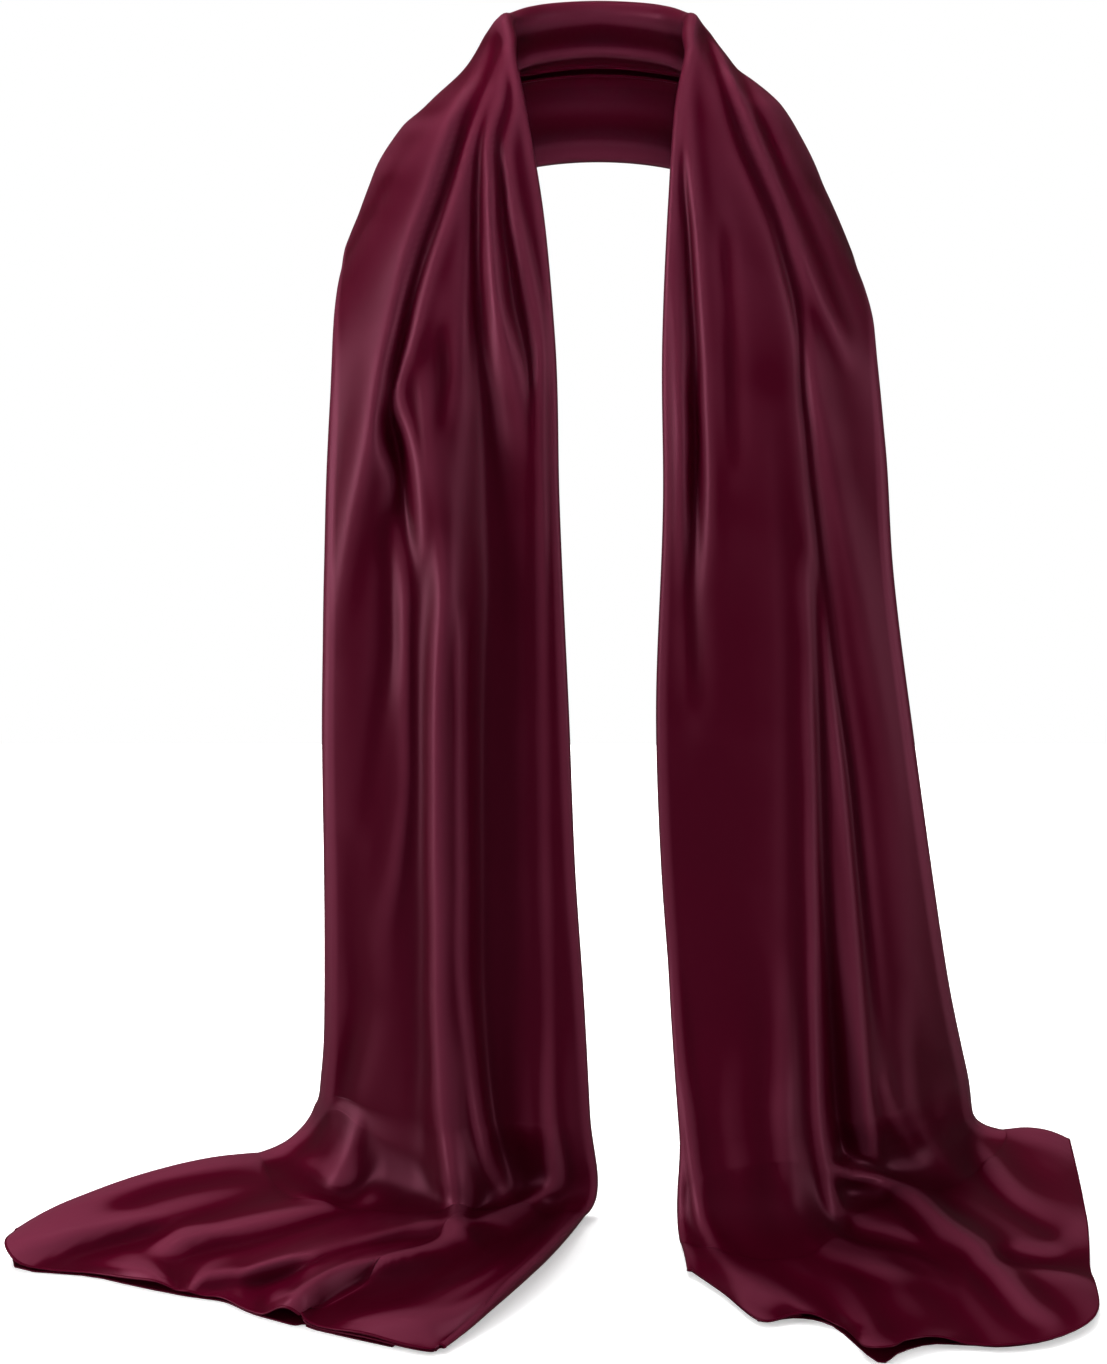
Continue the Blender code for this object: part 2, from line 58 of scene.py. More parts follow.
# %% Camera
CAMERA_PLACE = np.array([-0.0285, -2.0, 0.193])
CAMERA_TILT = np.radians(74.0)
LENS = 85.14
SENSOR = 36.0
PICTURE = (1107.0, 1364.0)                 # columns and rows of the picture
FOCAL = LENS / SENSOR * max(PICTURE)       # the lens's length in columns


def in_scene(name, data):
    """New object of some data, linked to the scene."""
    item = bpy.data.objects.new(name, data)
    bpy.context.collection.objects.link(item)
    return item


camera_data = bpy.data.cameras.new("front_camera")
camera_data.sensor_width = SENSOR
camera_data.lens = LENS
camera = in_scene("front_camera", camera_data)
camera.location = CAMERA_PLACE
camera.rotation_euler = (CAMERA_TILT, 0.0, 0.0)
bpy.context.scene.camera = camera


def picture_place(points):
    """Column and row at which the camera sees each point, given in millimetres.

    Both are the point's step aside or up from the camera, divided by its step away from it.
    """
    seen = np.asarray(points, float) * MM - CAMERA_PLACE
    forward = np.array([0.0, np.sin(CAMERA_TILT), -np.cos(CAMERA_TILT)])
    upward = np.array([0.0, np.cos(CAMERA_TILT), np.sin(CAMERA_TILT)])
    away = seen @ forward
    return (0.5 * PICTURE[0] + FOCAL * seen[..., 0] / away,
            0.5 * PICTURE[1] - FOCAL * (seen @ upward) / away)


print("the neck opening is seen at", [round(float(v)) for v in picture_place([0.0, 0.0, 0.0])])

# %% [markdown]
# ## A smooth line through a few numbers
#
# Cloth has no corners along its length, so every size that changes along the scarf is given at a few
# named stations and read in between on a smooth curve. Straight lines between the stations would
# show as creases in the satin's sheen.

# %% Smooth curves
def soft_step(t):
    """Ease from 0 to 1: three t squared minus two t cubed, level at both ends."""
    t = np.clip(t, 0.0, 1.0)
    return t * t * (3.0 - 2.0 * t)


def unit(vectors):
    """Vectors divided by their length."""
    return vectors / np.linalg.norm(vectors, axis=-1, keepdims=True)


def between_slopes(start, rise, end, fall, t):
    """start(1+2t)(1-t)^2 + rise t(1-t)^2 + end t^2(3-2t) - fall t^2(1-t), for t from 0 to 1."""
    return (start * (1 + 2 * t) * (1 - t) ** 2 + rise * t * (1 - t) ** 2
            + end * t * t * (3 - 2 * t) - fall * t * t * (1 - t))


def smooth_through(knots, values, at):
    """Cubic pieces through the rows of values, with slopes weighed from both neighbours."""
    knots = np.asarray(knots, float)
    values = np.asarray(values, float)
    at = np.asarray(at, float)
    step = np.diff(knots)
    shape = (-1,) + (1,) * (values.ndim - 1)
    slope = np.diff(values, axis=0) / step.reshape(shape)
    before = step[:-1].reshape(shape)
    after = step[1:].reshape(shape)
    inner = (slope[:-1] * after + slope[1:] * before) / (before + after)
    tangent = np.concatenate([slope[:1], inner, slope[-1:]])
    place = np.clip(np.searchsorted(knots, at, side="right") - 1, 0, len(step) - 1)
    t = ((at - knots[place]) / step[place]).reshape(shape)
    width = step[place].reshape(shape)
    return between_slopes(
        values[place], tangent[place] * width, values[place + 1], tangent[place + 1] * width, t)


print("halfway up a soft step:", float(soft_step(0.5)))

# %% [markdown]
# ## Where the strip lies
#
# The folded scarf is a strip about 0.19 m wide. Each section across it is given by three points: the
# fold along the neck, the middle, and the fold along the outer edge. x is measured outwards from the
# middle of the body, y runs from the chest (minus) to the back, and z is up from the neck opening.
# All sizes in the tables are millimetres. A few sections are enough, because the scarf hangs from
# the shoulders in long, quiet lines.

# %% Stations and sections
FLOOR = -700.0
LEFT, RIGHT = -1.0, 1.0
ALONG = {
    "nape": 0.0, "nape_side": 60.0, "back_shoulder": 105.0, "shoulder_top": 145.0,
    "shoulder_front": 190.0, "collar": 235.0, "chest": 285.0, "bust": 340.0,
    "high_waist": 430.0, "waist": 550.0, "thigh": 645.0, "knee": 735.0, "foot": 805.0,
}
NAPE_SECTION = ("nape", (0, 62, 47.5), (0, 68, -6), (0, 65, -55))
LEFT_SECTIONS = (          # station, neck fold, middle, outer fold
    ("nape_side", (41, 44, 47), (58, 57, -9), (70, 62, -64)),
    ("back_shoulder", (55, 20, 44), (92, 38, -20), (122, 46, -84)),
    ("shoulder_top", (57, -2, 44), (115, 4, -20), (153, -2, -95)),
    ("shoulder_front", (54, -30, 30), (112, -42, -36), (160, -34, -112)),
    ("collar", (45, -54, -6), (108, -70, -64), (163, -58, -132)),
    ("chest", (34, -74, -66), (100, -90, -108), (165, -76, -158)),
    ("bust", (27, -88, -140), (97, -102, -172), (168, -90, -205)),
    ("high_waist", (24, -94, -240), (97, -108, -260), (170, -97, -280)),
    ("waist", (18, -97, -376), (97, -109, -381), (173, -100, -386)),
    ("thigh", (14, -98, -475), (95, -110, -477), (174, -98, -479)),
    ("knee", (8, -100, -565), (93, -112, -565), (177, -86, -565)),
    ("foot", (4, -108, -636), (92, -119, -636), (182, -62, -636)),
)
RIGHT_SECTIONS = (
    ("nape_side", (41, 44, 47), (58, 57, -9), (70, 62, -64)),
    ("back_shoulder", (54, 20, 44), (91, 38, -20), (121, 46, -84)),
    ("shoulder_top", (55, -2, 44), (112, 4, -19), (150, -2, -95)),
    ("shoulder_front", (53, -30, 30), (112, -42, -35), (160, -34, -114)),
    ("collar", (44, -54, -6), (109, -70, -64), (166, -58, -134)),
    ("chest", (39, -74, -66), (105, -90, -110), (169, -76, -160)),
    ("bust", (36, -88, -140), (104, -102, -172), (174, -90, -205)),
    ("high_waist", (37, -94, -240), (107, -108, -260), (180, -97, -280)),
    ("waist", (34, -97, -376), (115, -109, -381), (195, -100, -386)),
    ("thigh", (38, -98, -475), (126, -110, -477), (211, -92, -479)),
    ("knee", (45, -108, -565), (137, -115, -565), (229, -66, -565)),
    ("foot", (50, -130, -636), (149, -124, -636), (247, -30, -636)),
)


def section_rows(table):
    """Three points of each section of a table."""
    return np.array([row[1:] for row in table], float)


def both_sides(left, middle, right):
    """A left table read backwards, a middle row and a right table, as one table."""
    return np.concatenate([left[::-1], middle, right])


def section_table():
    """Places along the strip, minus on the left, with the three points of each section."""
    along = np.array([ALONG[row[0]] for row in LEFT_SECTIONS])
    left = section_rows(LEFT_SECTIONS)
    left[..., 0] *= LEFT
    points = both_sides(left, section_rows([NAPE_SECTION]), section_rows(RIGHT_SECTIONS))
    return both_sides(-along, [0.0], along), points


def section_points(along, share):
    """Points a(1-s)(1-2s) + 4bs(1-s) + cs(2s-1) of each section, and their slope across."""
    knots, table = section_table()
    points = smooth_through(knots, table, along)
    a, b, c = (points[:, k, None, :] for k in range(3))
    s = share[..., None]
    place = a * (1 - s) * (1 - 2 * s) + b * 4 * s * (1 - s) + c * s * (2 * s - 1)
    slope = a * (4 * s - 3) + b * (4 - 8 * s) + c * (4 * s - 1)
    return place, slope


print("sections along the strip:", len(section_table()[0]))

# %% [markdown]
# ## The layers behind the front panel
#
# Along the neck a narrow flap is turned in, and along the outer edge the rest of the cloth is turned
# in behind. So one row of the strip runs from the flap's hem round the neck fold, across the panel,
# round the outer fold and back to the hem of the back layer. Both folds are half rounds. One row of
# columns takes in all of it, so that there is no seam where a real scarf has none.

# %% Layers of the folded strip
LAYER_STATIONS = ("nape", "nape_side", "back_shoulder", "shoulder_top", "collar", "chest",
                  "bust", "waist", "knee", "foot")
BACK_GAP = (9, 9, 10, 11, 15, 19, 22, 24, 26, 26)           # mm from the panel to the back layer
OUTER_FOLD_GAP = (9, 9, 9, 9, 10, 12, 13, 13, 14, 15)       # the same beside the outer fold
BACK_HEM = (0.41, 0.41, 0.39, 0.38, 0.32, 0.25, 0.16, 0.12, 0.12, 0.12)       # across place of its hem
FLAP_GAP = (14, 14, 11, 9, 8, 7, 7, 7, 7, 7)                # mm from the panel to the flap
FLAP_HEM = (0.355, 0.35, 0.30, 0.27, 0.24, 0.22, 0.20, 0.20, 0.20, 0.20)      # across place of its hem
FLAP_FOLLOWS = (0.2, 0.4, 0.8, 1, 1, 1, 1, 1, 1, 1)         # share of the panel's folds in the flap
BACK_FOLLOWS = 0.3         # share of the panel's folds that the hanging back layer repeats
BACK_WAVE = 0.08           # height of the back layer's own folds, as a share of its gap
BACK_WAVES = 2.5           # number of them across the strip
EDGE_EASE = 4.0            # how soon the back layer reaches its full gap, from the outer fold
FLAP_SINKS = 0.5           # on the floor: place of the flap between panel (0) and back layer (1)
FLAP_FACES, TURN_FACES, PANEL_FACES, BACK_FACES = 24, 8, 170, 40


def layer_value(row, along):
    """Value of a layer row at each place along the strip, alike on both sides."""
    return smooth_through([ALONG[name] for name in LAYER_STATIONS], row, np.abs(along))


def strip_columns(along):
    """Across place, shares of flap and back layer, depth and bulge in every column.

    Depth is minus the gap of the layer behind. Round a fold it falls as half a cosine while the
    bulge beyond the edge rises as half a sine.
    """
    flap_hem, flap_gap, back_hem, back_gap, fold_gap = (
        layer_value(row, along)[:, None]
        for row in (FLAP_HEM, FLAP_GAP, BACK_HEM, BACK_GAP, OUTER_FOLD_GAP))
    turn = np.linspace(0.0, np.pi, TURN_FACES + 1)[None, 1:-1]
    half_turn = 0.5 * (1.0 - np.cos(turn))
    flap = flap_hem * np.linspace(1.0, 0.0, FLAP_FACES + 1)
    panel = np.linspace(0.0, 1.0, PANEL_FACES + 1)[None, :]
    back = 1.0 + (back_hem - 1.0) * np.linspace(0.0, 1.0, BACK_FACES + 1)
    eased = soft_step((1.0 - back) * EDGE_EASE)
    back_depth = fold_gap + (back_gap - fold_gap) * eased
    wave = BACK_WAVE * back_gap * np.sin(2.0 * np.pi * BACK_WAVES * (1.0 - back)) * eased

    def columns(*values):
        """Values of flap, neck turn, panel, outer turn and back layer, side by side."""
        widths = (flap.shape[1], turn.shape[1], panel.shape[1], turn.shape[1], back.shape[1])
        return np.concatenate(
            [np.broadcast_to(value, (len(along), width)) for value, width in zip(values, widths)], axis=1)

    across = columns(flap, 0.0, panel, 1.0, back)
    in_flap = columns(1.0, 1.0 - half_turn, 0.0, 0.0, 0.0)
    in_back = columns(0.0, 0.0, 0.0, half_turn, 1.0)
    depth = columns(-flap_gap, -flap_gap * (1.0 - half_turn), 0.0, -fold_gap * half_turn, wave - back_depth)
    bulge = columns(0.0, -0.5 * flap_gap * np.sin(turn), 0.0, 0.5 * fold_gap * np.sin(turn), 0.0)
    return across, in_flap, in_back, depth, bulge


def hanging_grid(along):
    """Smooth form of the folded strip: section point plus depth along the section's normal."""
    across, _, _, depth, bulge = strip_columns(along)
    knots, table = section_table()
    points = smooth_through(knots, table, along)
    width = np.linalg.norm(points[:, 2] - points[:, 0], axis=1)[:, None]
    inner_edge = 0.5 * layer_value(FLAP_GAP, along)[:, None] / width
    outer_edge = 0.5 * layer_value(OUTER_FOLD_GAP, along)[:, None] / width
    share = inner_edge + across * (1.0 - inner_edge - outer_edge) + bulge / width
    place, sideways = section_points(along, share)
    ahead = section_points(along + 1.0, share)[0]
    behind = section_points(along - 1.0, share)[0]
    return place + unit(np.cross(ahead - behind, sideways)) * depth[..., None]


FOOT_COLUMNS = strip_columns(np.array([ALONG["foot"]]))
print("columns across the folded strip:", FOOT_COLUMNS[0].shape[1])

# %% [markdown]
# ## The ends on the floor
#
# At the floor the strip bends and runs out to its hem. For a few places across the panel the table
# gives where it meets the floor, where its hem lies, and how high it stands on the way and at the
# hem. The strip leaves the fall in the fall's own direction, bends on a parabola, and runs out. The
# hem's places follow the wavy hem line of the real scarf.

# %% Bend and run of the two ends
LEFT_FLOOR = (             # across, knee, hem, bend, lift at the bend, on the way and at the hem, bow aside
    (0.000, (0, -118), (94, -303), 24, 9, 12, 5, 10),
    (0.116, (17, -114), (120, -300), 24, 9, 13, 4, 8),
    (0.160, (31, -114), (168, -278), 24, 9, 14, 4, 6),
    (0.220, (43, -114), (176, -270), 24, 9, 13, 4, 4),
    (0.300, (56, -118), (183, -271), 22, 9, 13, 4, 2),
    (0.380, (70, -124), (193, -266), 20, 9, 12, 3, 0),
    (0.440, (84, -134), (207, -258), 18, 9, 12, 3, 0),
    (0.560, (98, -132), (226, -242), 22, 9, 13, 4, 0),
    (0.700, (116, -116), (242, -236), 30, 10, 14, 3, 0),
    (0.790, (138, -104), (260, -230), 34, 10, 14, 4, 0),
    (0.835, (147, -100), (286, -219), 36, 11, 14, 4, 0),
    (0.880, (161, -96), (312, -207), 40, 12, 17, 3, 0),
    (0.920, (170, -80), (338, -202), 42, 13, 19, 3, 0),
    (0.950, (176, -64), (359, -197), 42, 14, 21, 5, 0),
    (0.975, (182, -48), (365, -182), 41, 14, 23, 7, 0),
    (1.000, (189, -34), (360, -167), 40, 14, 25, 9, 0),
)
RIGHT_FLOOR = (
    (0.000, (51, -150), (56, -206), 22, 8, 10, 5, 0),
    (0.060, (58, -152), (74, -234), 28, 8, 11, 4, 0),
    (0.120, (68, -156), (94, -270), 34, 8, 12, 4, 0),
    (0.180, (82, -158), (114, -266), 38, 8, 12, 5, 0),
    (0.273, (102, -156), (138, -276), 40, 8, 12, 5, 0),
    (0.370, (124, -152), (162, -322), 38, 9, 12, 6, 0),
    (0.440, (138, -142), (176, -308), 28, 9, 11, 5, 0),
    (0.475, (145, -136), (190, -300), 26, 9, 12, 5, 0),
    (0.540, (154, -114), (214, -300), 24, 9, 11, 4, 0),
    (0.625, (172, -96), (238, -302), 26, 9, 13, 5, 0),
    (0.690, (183, -84), (264, -294), 28, 9, 13, 5, 0),
    (0.770, (202, -72), (292, -268), 32, 9, 15, 6, 0),
    (0.880, (226, -50), (302, -190), 32, 9, 12, 5, 0),
    (0.945, (240, -26), (311, -100), 30, 9, 13, 5, 0),
    (1.000, (254, -8), (316, -16), 20, 9, 13, 6, 0),
)
BACK_LIFT = 0.9                               # height of the back layer's middle over the floor
BACK_HEM_SHORT = {LEFT: 2.0, RIGHT: 6.0}      # how much further in the back layer's hem lies
EDGE_ROLL = 0.7                               # share of the turn at the two folds that shows here
DOWN_ROWS, CURVE_ROWS, RUN_ROWS = 24, 22, 96


def knee_shift(top, across, knee_y, layer):
    """How far the strip moves in depth down to its knee; the back layer repeats less of it."""
    panel = np.flatnonzero(layer == 0.0)
    shift = knee_y - np.interp(across, across[panel], top[panel, 1])
    trend = np.interp(across, [0.0, 1.0], [shift[panel[0]], shift[panel[-1]]])
    return trend + (shift - trend) * (1.0 - (1.0 - BACK_FOLLOWS) * layer)


def floor_corners(side, top, across, layer, bulge):
    """Knee and hem points of every column, its bend, and how it lifts and bows between them."""
    places, *columns = zip(*(LEFT_FLOOR if side == LEFT else RIGHT_FLOOR))
    knee, hem, bend, start, way, end, bow = (smooth_through(places, values, across) for values in columns)
    run = unit(hem - knee)
    sideways = np.stack([-run[:, 1], run[:, 0]], axis=1) * bulge[:, None] * EDGE_ROLL
    knee_y = top[:, 1] + knee_shift(top, across, knee[:, 1], layer)
    hem = hem + sideways - run * (BACK_HEM_SHORT[side] * layer)[:, None]
    knee_z = FLOOR + start + (BACK_LIFT - start) * layer
    hem_z = FLOOR + end + (BACK_LIFT - end) * layer
    lift = (way - 0.5 * (start + end)) * (1.0 - layer)
    between = np.stack([side * run[:, 1] * bow, -run[:, 0] * bow, lift], axis=1)
    return (np.stack([side * (knee[:, 0] + sideways[:, 0]), knee_y + sideways[:, 1], knee_z], axis=1),
            np.stack([side * hem[:, 0], hem[:, 1], hem_z], axis=1), bend[:, None], between)


def steps(rows):
    """Even steps from 0 to 1 down the rows of a grid."""
    return np.linspace(0.0, 1.0, rows + 1)[:, None, None]


def floor_grid(side):
    """Smooth form of an end, from the foot of the fall to the hem.

    The bend is into(1-t)^2 + 2 knee t(1-t) + leave t^2, and the run a straight line plus 4 between t(1-t).
    """
    foot = side * ALONG["foot"]
    before, top = hanging_grid(np.array([foot - side, foot]))
    across, in_flap, in_back, _, bulge = (values[0] for values in FOOT_COLUMNS)
    knee, hem, bend, between = floor_corners(side, top, across, FLAP_SINKS * in_flap + in_back, bulge)
    down = unit(knee - top)
    into = knee - down * bend
    leave = knee + unit(hem - knee) * bend
    length = np.linalg.norm(knee - top, axis=1, keepdims=True) - bend
    falling = between_slopes(top, (top - before) * length, into, down * length, steps(DOWN_ROWS)[:-1])
    t = steps(CURVE_ROWS)[:-1]
    bending = into * (1 - t) ** 2 + knee * 2 * t * (1 - t) + leave * t * t
    t = steps(RUN_ROWS)
    running = leave + (hem - leave) * t + between * 4.0 * t * (1.0 - t)
    return np.concatenate([falling, bending, running])


print("rows of an end:", len(floor_grid(LEFT)))

# %% [markdown]
# ## The smooth strip as a whole
#
# The strip is worked out once, from the left hem over the neck to the right hem. The folds come
# after that, so that they run on from one stretch to the next.

# %% Smooth strip
NECK_ROWS = 184
FALL_ROWS = 146
PART_AT = ALONG["chest"]
neck_rows = np.linspace(-PART_AT, PART_AT, NECK_ROWS + 1)
fall_rows = np.linspace(PART_AT, ALONG["foot"], FALL_ROWS + 1)[1:]
hanging_rows = np.concatenate([-fall_rows[::-1], neck_rows, fall_rows])
left_end = floor_grid(LEFT)[1:][::-1]
right_end = floor_grid(RIGHT)[1:]
end_rows = np.arange(1, len(left_end) + 1)
row_place = np.concatenate([-ALONG["foot"] - end_rows[::-1], hanging_rows, ALONG["foot"] + end_rows])
smooth_form = np.concatenate([left_end, hanging_grid(hanging_rows), right_end])
parts = [0] + np.cumsum([len(left_end), FALL_ROWS, NECK_ROWS, FALL_ROWS, len(right_end)]).tolist()
hanging_place = np.clip(row_place, -ALONG["foot"], ALONG["foot"])
across, in_flap, in_back = strip_columns(hanging_place)[:3]
print("rows and columns of the strip:", smooth_form.shape[:2])

# %% [markdown]
# ## The folds of the left fall, laid out as they are seen from the front
#
# Satin falls in soft folds that start at the neck, widen downwards and fade. They could be sculpted
# by hand, but then nobody could read or move them. Here each ridge or trough is a line through a few
# places in the picture. A place has its column and row there, the height of the fold in millimetres
# (minus for a trough), and how wide its two flanks are, in picture columns, where they differ from
# the place before. Lines that run down have a left and a right flank, and lines that run sideways an
# upper and a lower one.

# %% Folds of the left fall
LEFT_FALL_FOLDS = {
    "shoulder_hollow": ((498, 22, 0, 8, 26), (478, 46, -7), (456, 74, -10), (432, 100, -6),
        (408, 124, 0)),
    "shoulder_swell": ((418, 110, 0, 10, 26), (400, 136, 3, 10, 30), (384, 160, 4, 10, 32),
        (370, 184, 2), (356, 214, 0)),
    "shoulder_fold": ((498, 24, 0, 8, 5), (475, 70, 2, 14, 7), (458, 100, 5, 22, 8),
        (445, 140, 6, 26, 8), (432, 180, 6, 30, 9), (420, 217, 6, 32, 9), (407, 260, 6, 32, 8),
        (399, 300, 6, 32, 6), (391, 340, 7, 30, 5), (385, 366, 8, 26, 6), (377, 400, 8, 24, 9),
        (371, 430, 8, 22, 13), (362, 470, 7, 20, 17), (350, 520, 5, 18, 20), (338, 590, 2, 16, 16),
        (330, 650, 0, 15, 15)),
    "groove": ((502, 28, 0, 6, 6), (492, 66, -3, 7, 6), (478, 100, -4, 8, 6), (462, 140, -5, 9, 7),
        (449, 180, -5), (437, 217, -5), (422, 260, -5), (411, 300, -5), (402, 340, -5),
        (394, 366, -5, 8, 7), (387, 398, -3, 8, 8), (389, 416, -6, 9, 9), (393, 432, -11, 10, 9),
        (398, 450, -11, 11, 9), (402, 470, -9), (404, 505, -7, 12, 9), (406, 545, -3, 11, 8),
        (408, 600, 0, 10, 8)),
    "crisp_edge": ((499, 60, 0, 5, 6), (487, 100, 1, 5, 7), (471, 140, 2, 6, 8), (460, 180, 2, 6, 9),
        (446, 217, 2), (432, 260, 2), (421, 300, 2), (411, 340, 2, 6, 8), (402, 366, 2, 6, 7),
        (398, 400, 2, 6, 9), (409, 430, 2, 7, 8), (415, 470, 3, 7, 9), (421, 520, 3, 7, 8),
        (424, 580, 0, 8, 8)),
    "between_folds": ((447, 310, 0, 8, 8), (443, 340, -2), (444, 366, -3, 9, 8), (442, 400, -2, 8, 8),
        (440, 440, 0)),
    "main_fold": ((420, 350, 0, 10, 20), (424, 380, 2, 10, 22), (428, 430, 4, 10, 24),
        (432, 470, 6, 12, 26), (438, 520, 7, 15, 30), (445, 590, 11, 17, 28), (440, 650, 12, 14, 26),
        (437, 720, 12, 12, 26), (437, 790, 12), (437, 865, 12), (438, 930, 12), (438, 1000, 12),
        (440, 1060, 12), (443, 1116, 13, 14, 24), (449, 1160, 14, 15, 22), (457, 1200, 11, 16, 18),
        (463, 1222, 4, 16, 14), (467, 1236, 0, 14, 12)),
    "lee_fold": ((462, 600, 0, 6, 8), (461, 650, 3), (461, 720, 3), (462, 865, 3), (464, 1000, 3),
        (473, 1070, 3, 7, 8), (478, 1116, 4), (487, 1160, 3), (494, 1190, 0)),
    "deep_trough": ((492, 90, 0, 4, 4), (480, 140, -3, 6, 5), (477, 180, -5, 8, 6),
        (477, 217, -6, 9, 6), (477, 260, -7, 10, 6), (478, 300, -8, 12, 8), (480, 340, -9, 14, 10),
        (482, 366, -9, 16, 13), (485, 400, -10, 18, 18), (487, 430, -11, 20, 20), (489, 470, -11, 22, 26),
        (490, 520, -11, 24, 32), (490, 590, -12, 24, 38), (488, 650, -12, 20, 42), (486, 720, -13, 18, 44),
        (486, 865, -14, 18, 46), (488, 1000, -14), (498, 1116, -15, 18, 38), (506, 1155, -12, 16, 34),
        (514, 1182, -6, 14, 24), (520, 1204, 0, 12, 18)),
    "neck_fold": ((505, 60, 0, 4, 5), (501, 100, 2), (489, 140, 3, 5, 5), (489, 180, 4, 5, 6),
        (489, 217, 5, 5, 7), (492, 260, 5, 6, 9), (496, 300, 5, 7, 9), (504, 340, 3, 8, 9),
        (511, 366, 2, 9, 8), (518, 400, 1, 9, 7), (524, 460, 0, 8, 7)),
    "second_trough": ((508, 60, 0, 4, 4), (510, 100, -2, 4, 5), (498, 140, -3, 5, 4),
        (500, 180, -4, 5, 5), (503, 217, -4, 6, 6), (509, 260, -5, 7, 7), (515, 300, -5, 8, 8),
        (525, 340, -4, 8, 6), (530, 366, -3, 7, 5), (532, 400, -1, 6, 5), (533, 450, 0)),
    "neck_edge_roll": ((511, 60, 0, 5, 5), (518, 100, 2, 6, 6), (509, 140, 1, 5, 5),
        (511, 180, 2, 5, 6), (516, 217, 3, 6, 7), (526, 260, 3, 6, 6), (535, 300, 3, 7, 6),
        (541, 340, 3, 6, 6), (541, 400, 2), (542, 520, 2), (543, 720, 1, 6, 7), (545, 865, 1),
        (548, 1000, 1), (549, 1116, 2), (556, 1185, 3, 8, 8), (556, 1200, 0)),
    "side_trough": ((392, 490, 0, 9, 8), (389, 520, -2, 11, 8), (390, 590, -3, 14, 8),
        (390, 650, -3, 15, 9), (381, 720, -2, 15, 11), (372, 790, -1, 15, 14), (362, 850, 0)),
    "side_ridge": ((402, 500, 0, 6, 6), (405, 540, 1, 7, 6), (406, 650, 2, 8, 6), (406, 720, 2, 9, 7),
        (405, 790, 2, 11, 8), (396, 865, 2, 13, 10), (386, 930, 1, 15, 12), (382, 1000, 0, 14, 14)),
    "low_side_trough": ((346, 820, 0, 12, 16), (350, 865, -1, 14, 18), (354, 930, -2, 16, 20),
        (358, 1000, -3), (350, 1060, -3, 12, 16), (344, 1110, 0, 10, 12)),
    "outer_roll": ((338, 270, 0, 8, 26), (336, 320, 0, 8, 28), (333, 360, -1, 6, 28), (330, 410, -3),
        (326, 470, -5, 6, 26), (323, 520, -5, 6, 24), (321, 590, -3, 6, 18), (320, 720, -2, 6, 16),
        (321, 865, -2), (322, 1000, -1), (320, 1060, 0, 6, 18), (308, 1105, 2, 8, 20), (292, 1132, 2),
        (266, 1150, 0)),
    "corner_ridge": ((322, 1040, 0, 10, 9), (325, 1085, 1, 14, 12), (334, 1135, 2, 24, 20),
        (346, 1180, 2, 32, 20), (354, 1202, 0, 26, 20)),
}
print("folds of the left fall:", len(LEFT_FALL_FOLDS))

# %% [markdown]
# ## The folds of the right fall
#
# The right fall is calmer: a broad smooth band in the middle, a slot beside the neck, and a long
# narrow slot that opens towards the floor. Its folds are laid out in the same way.

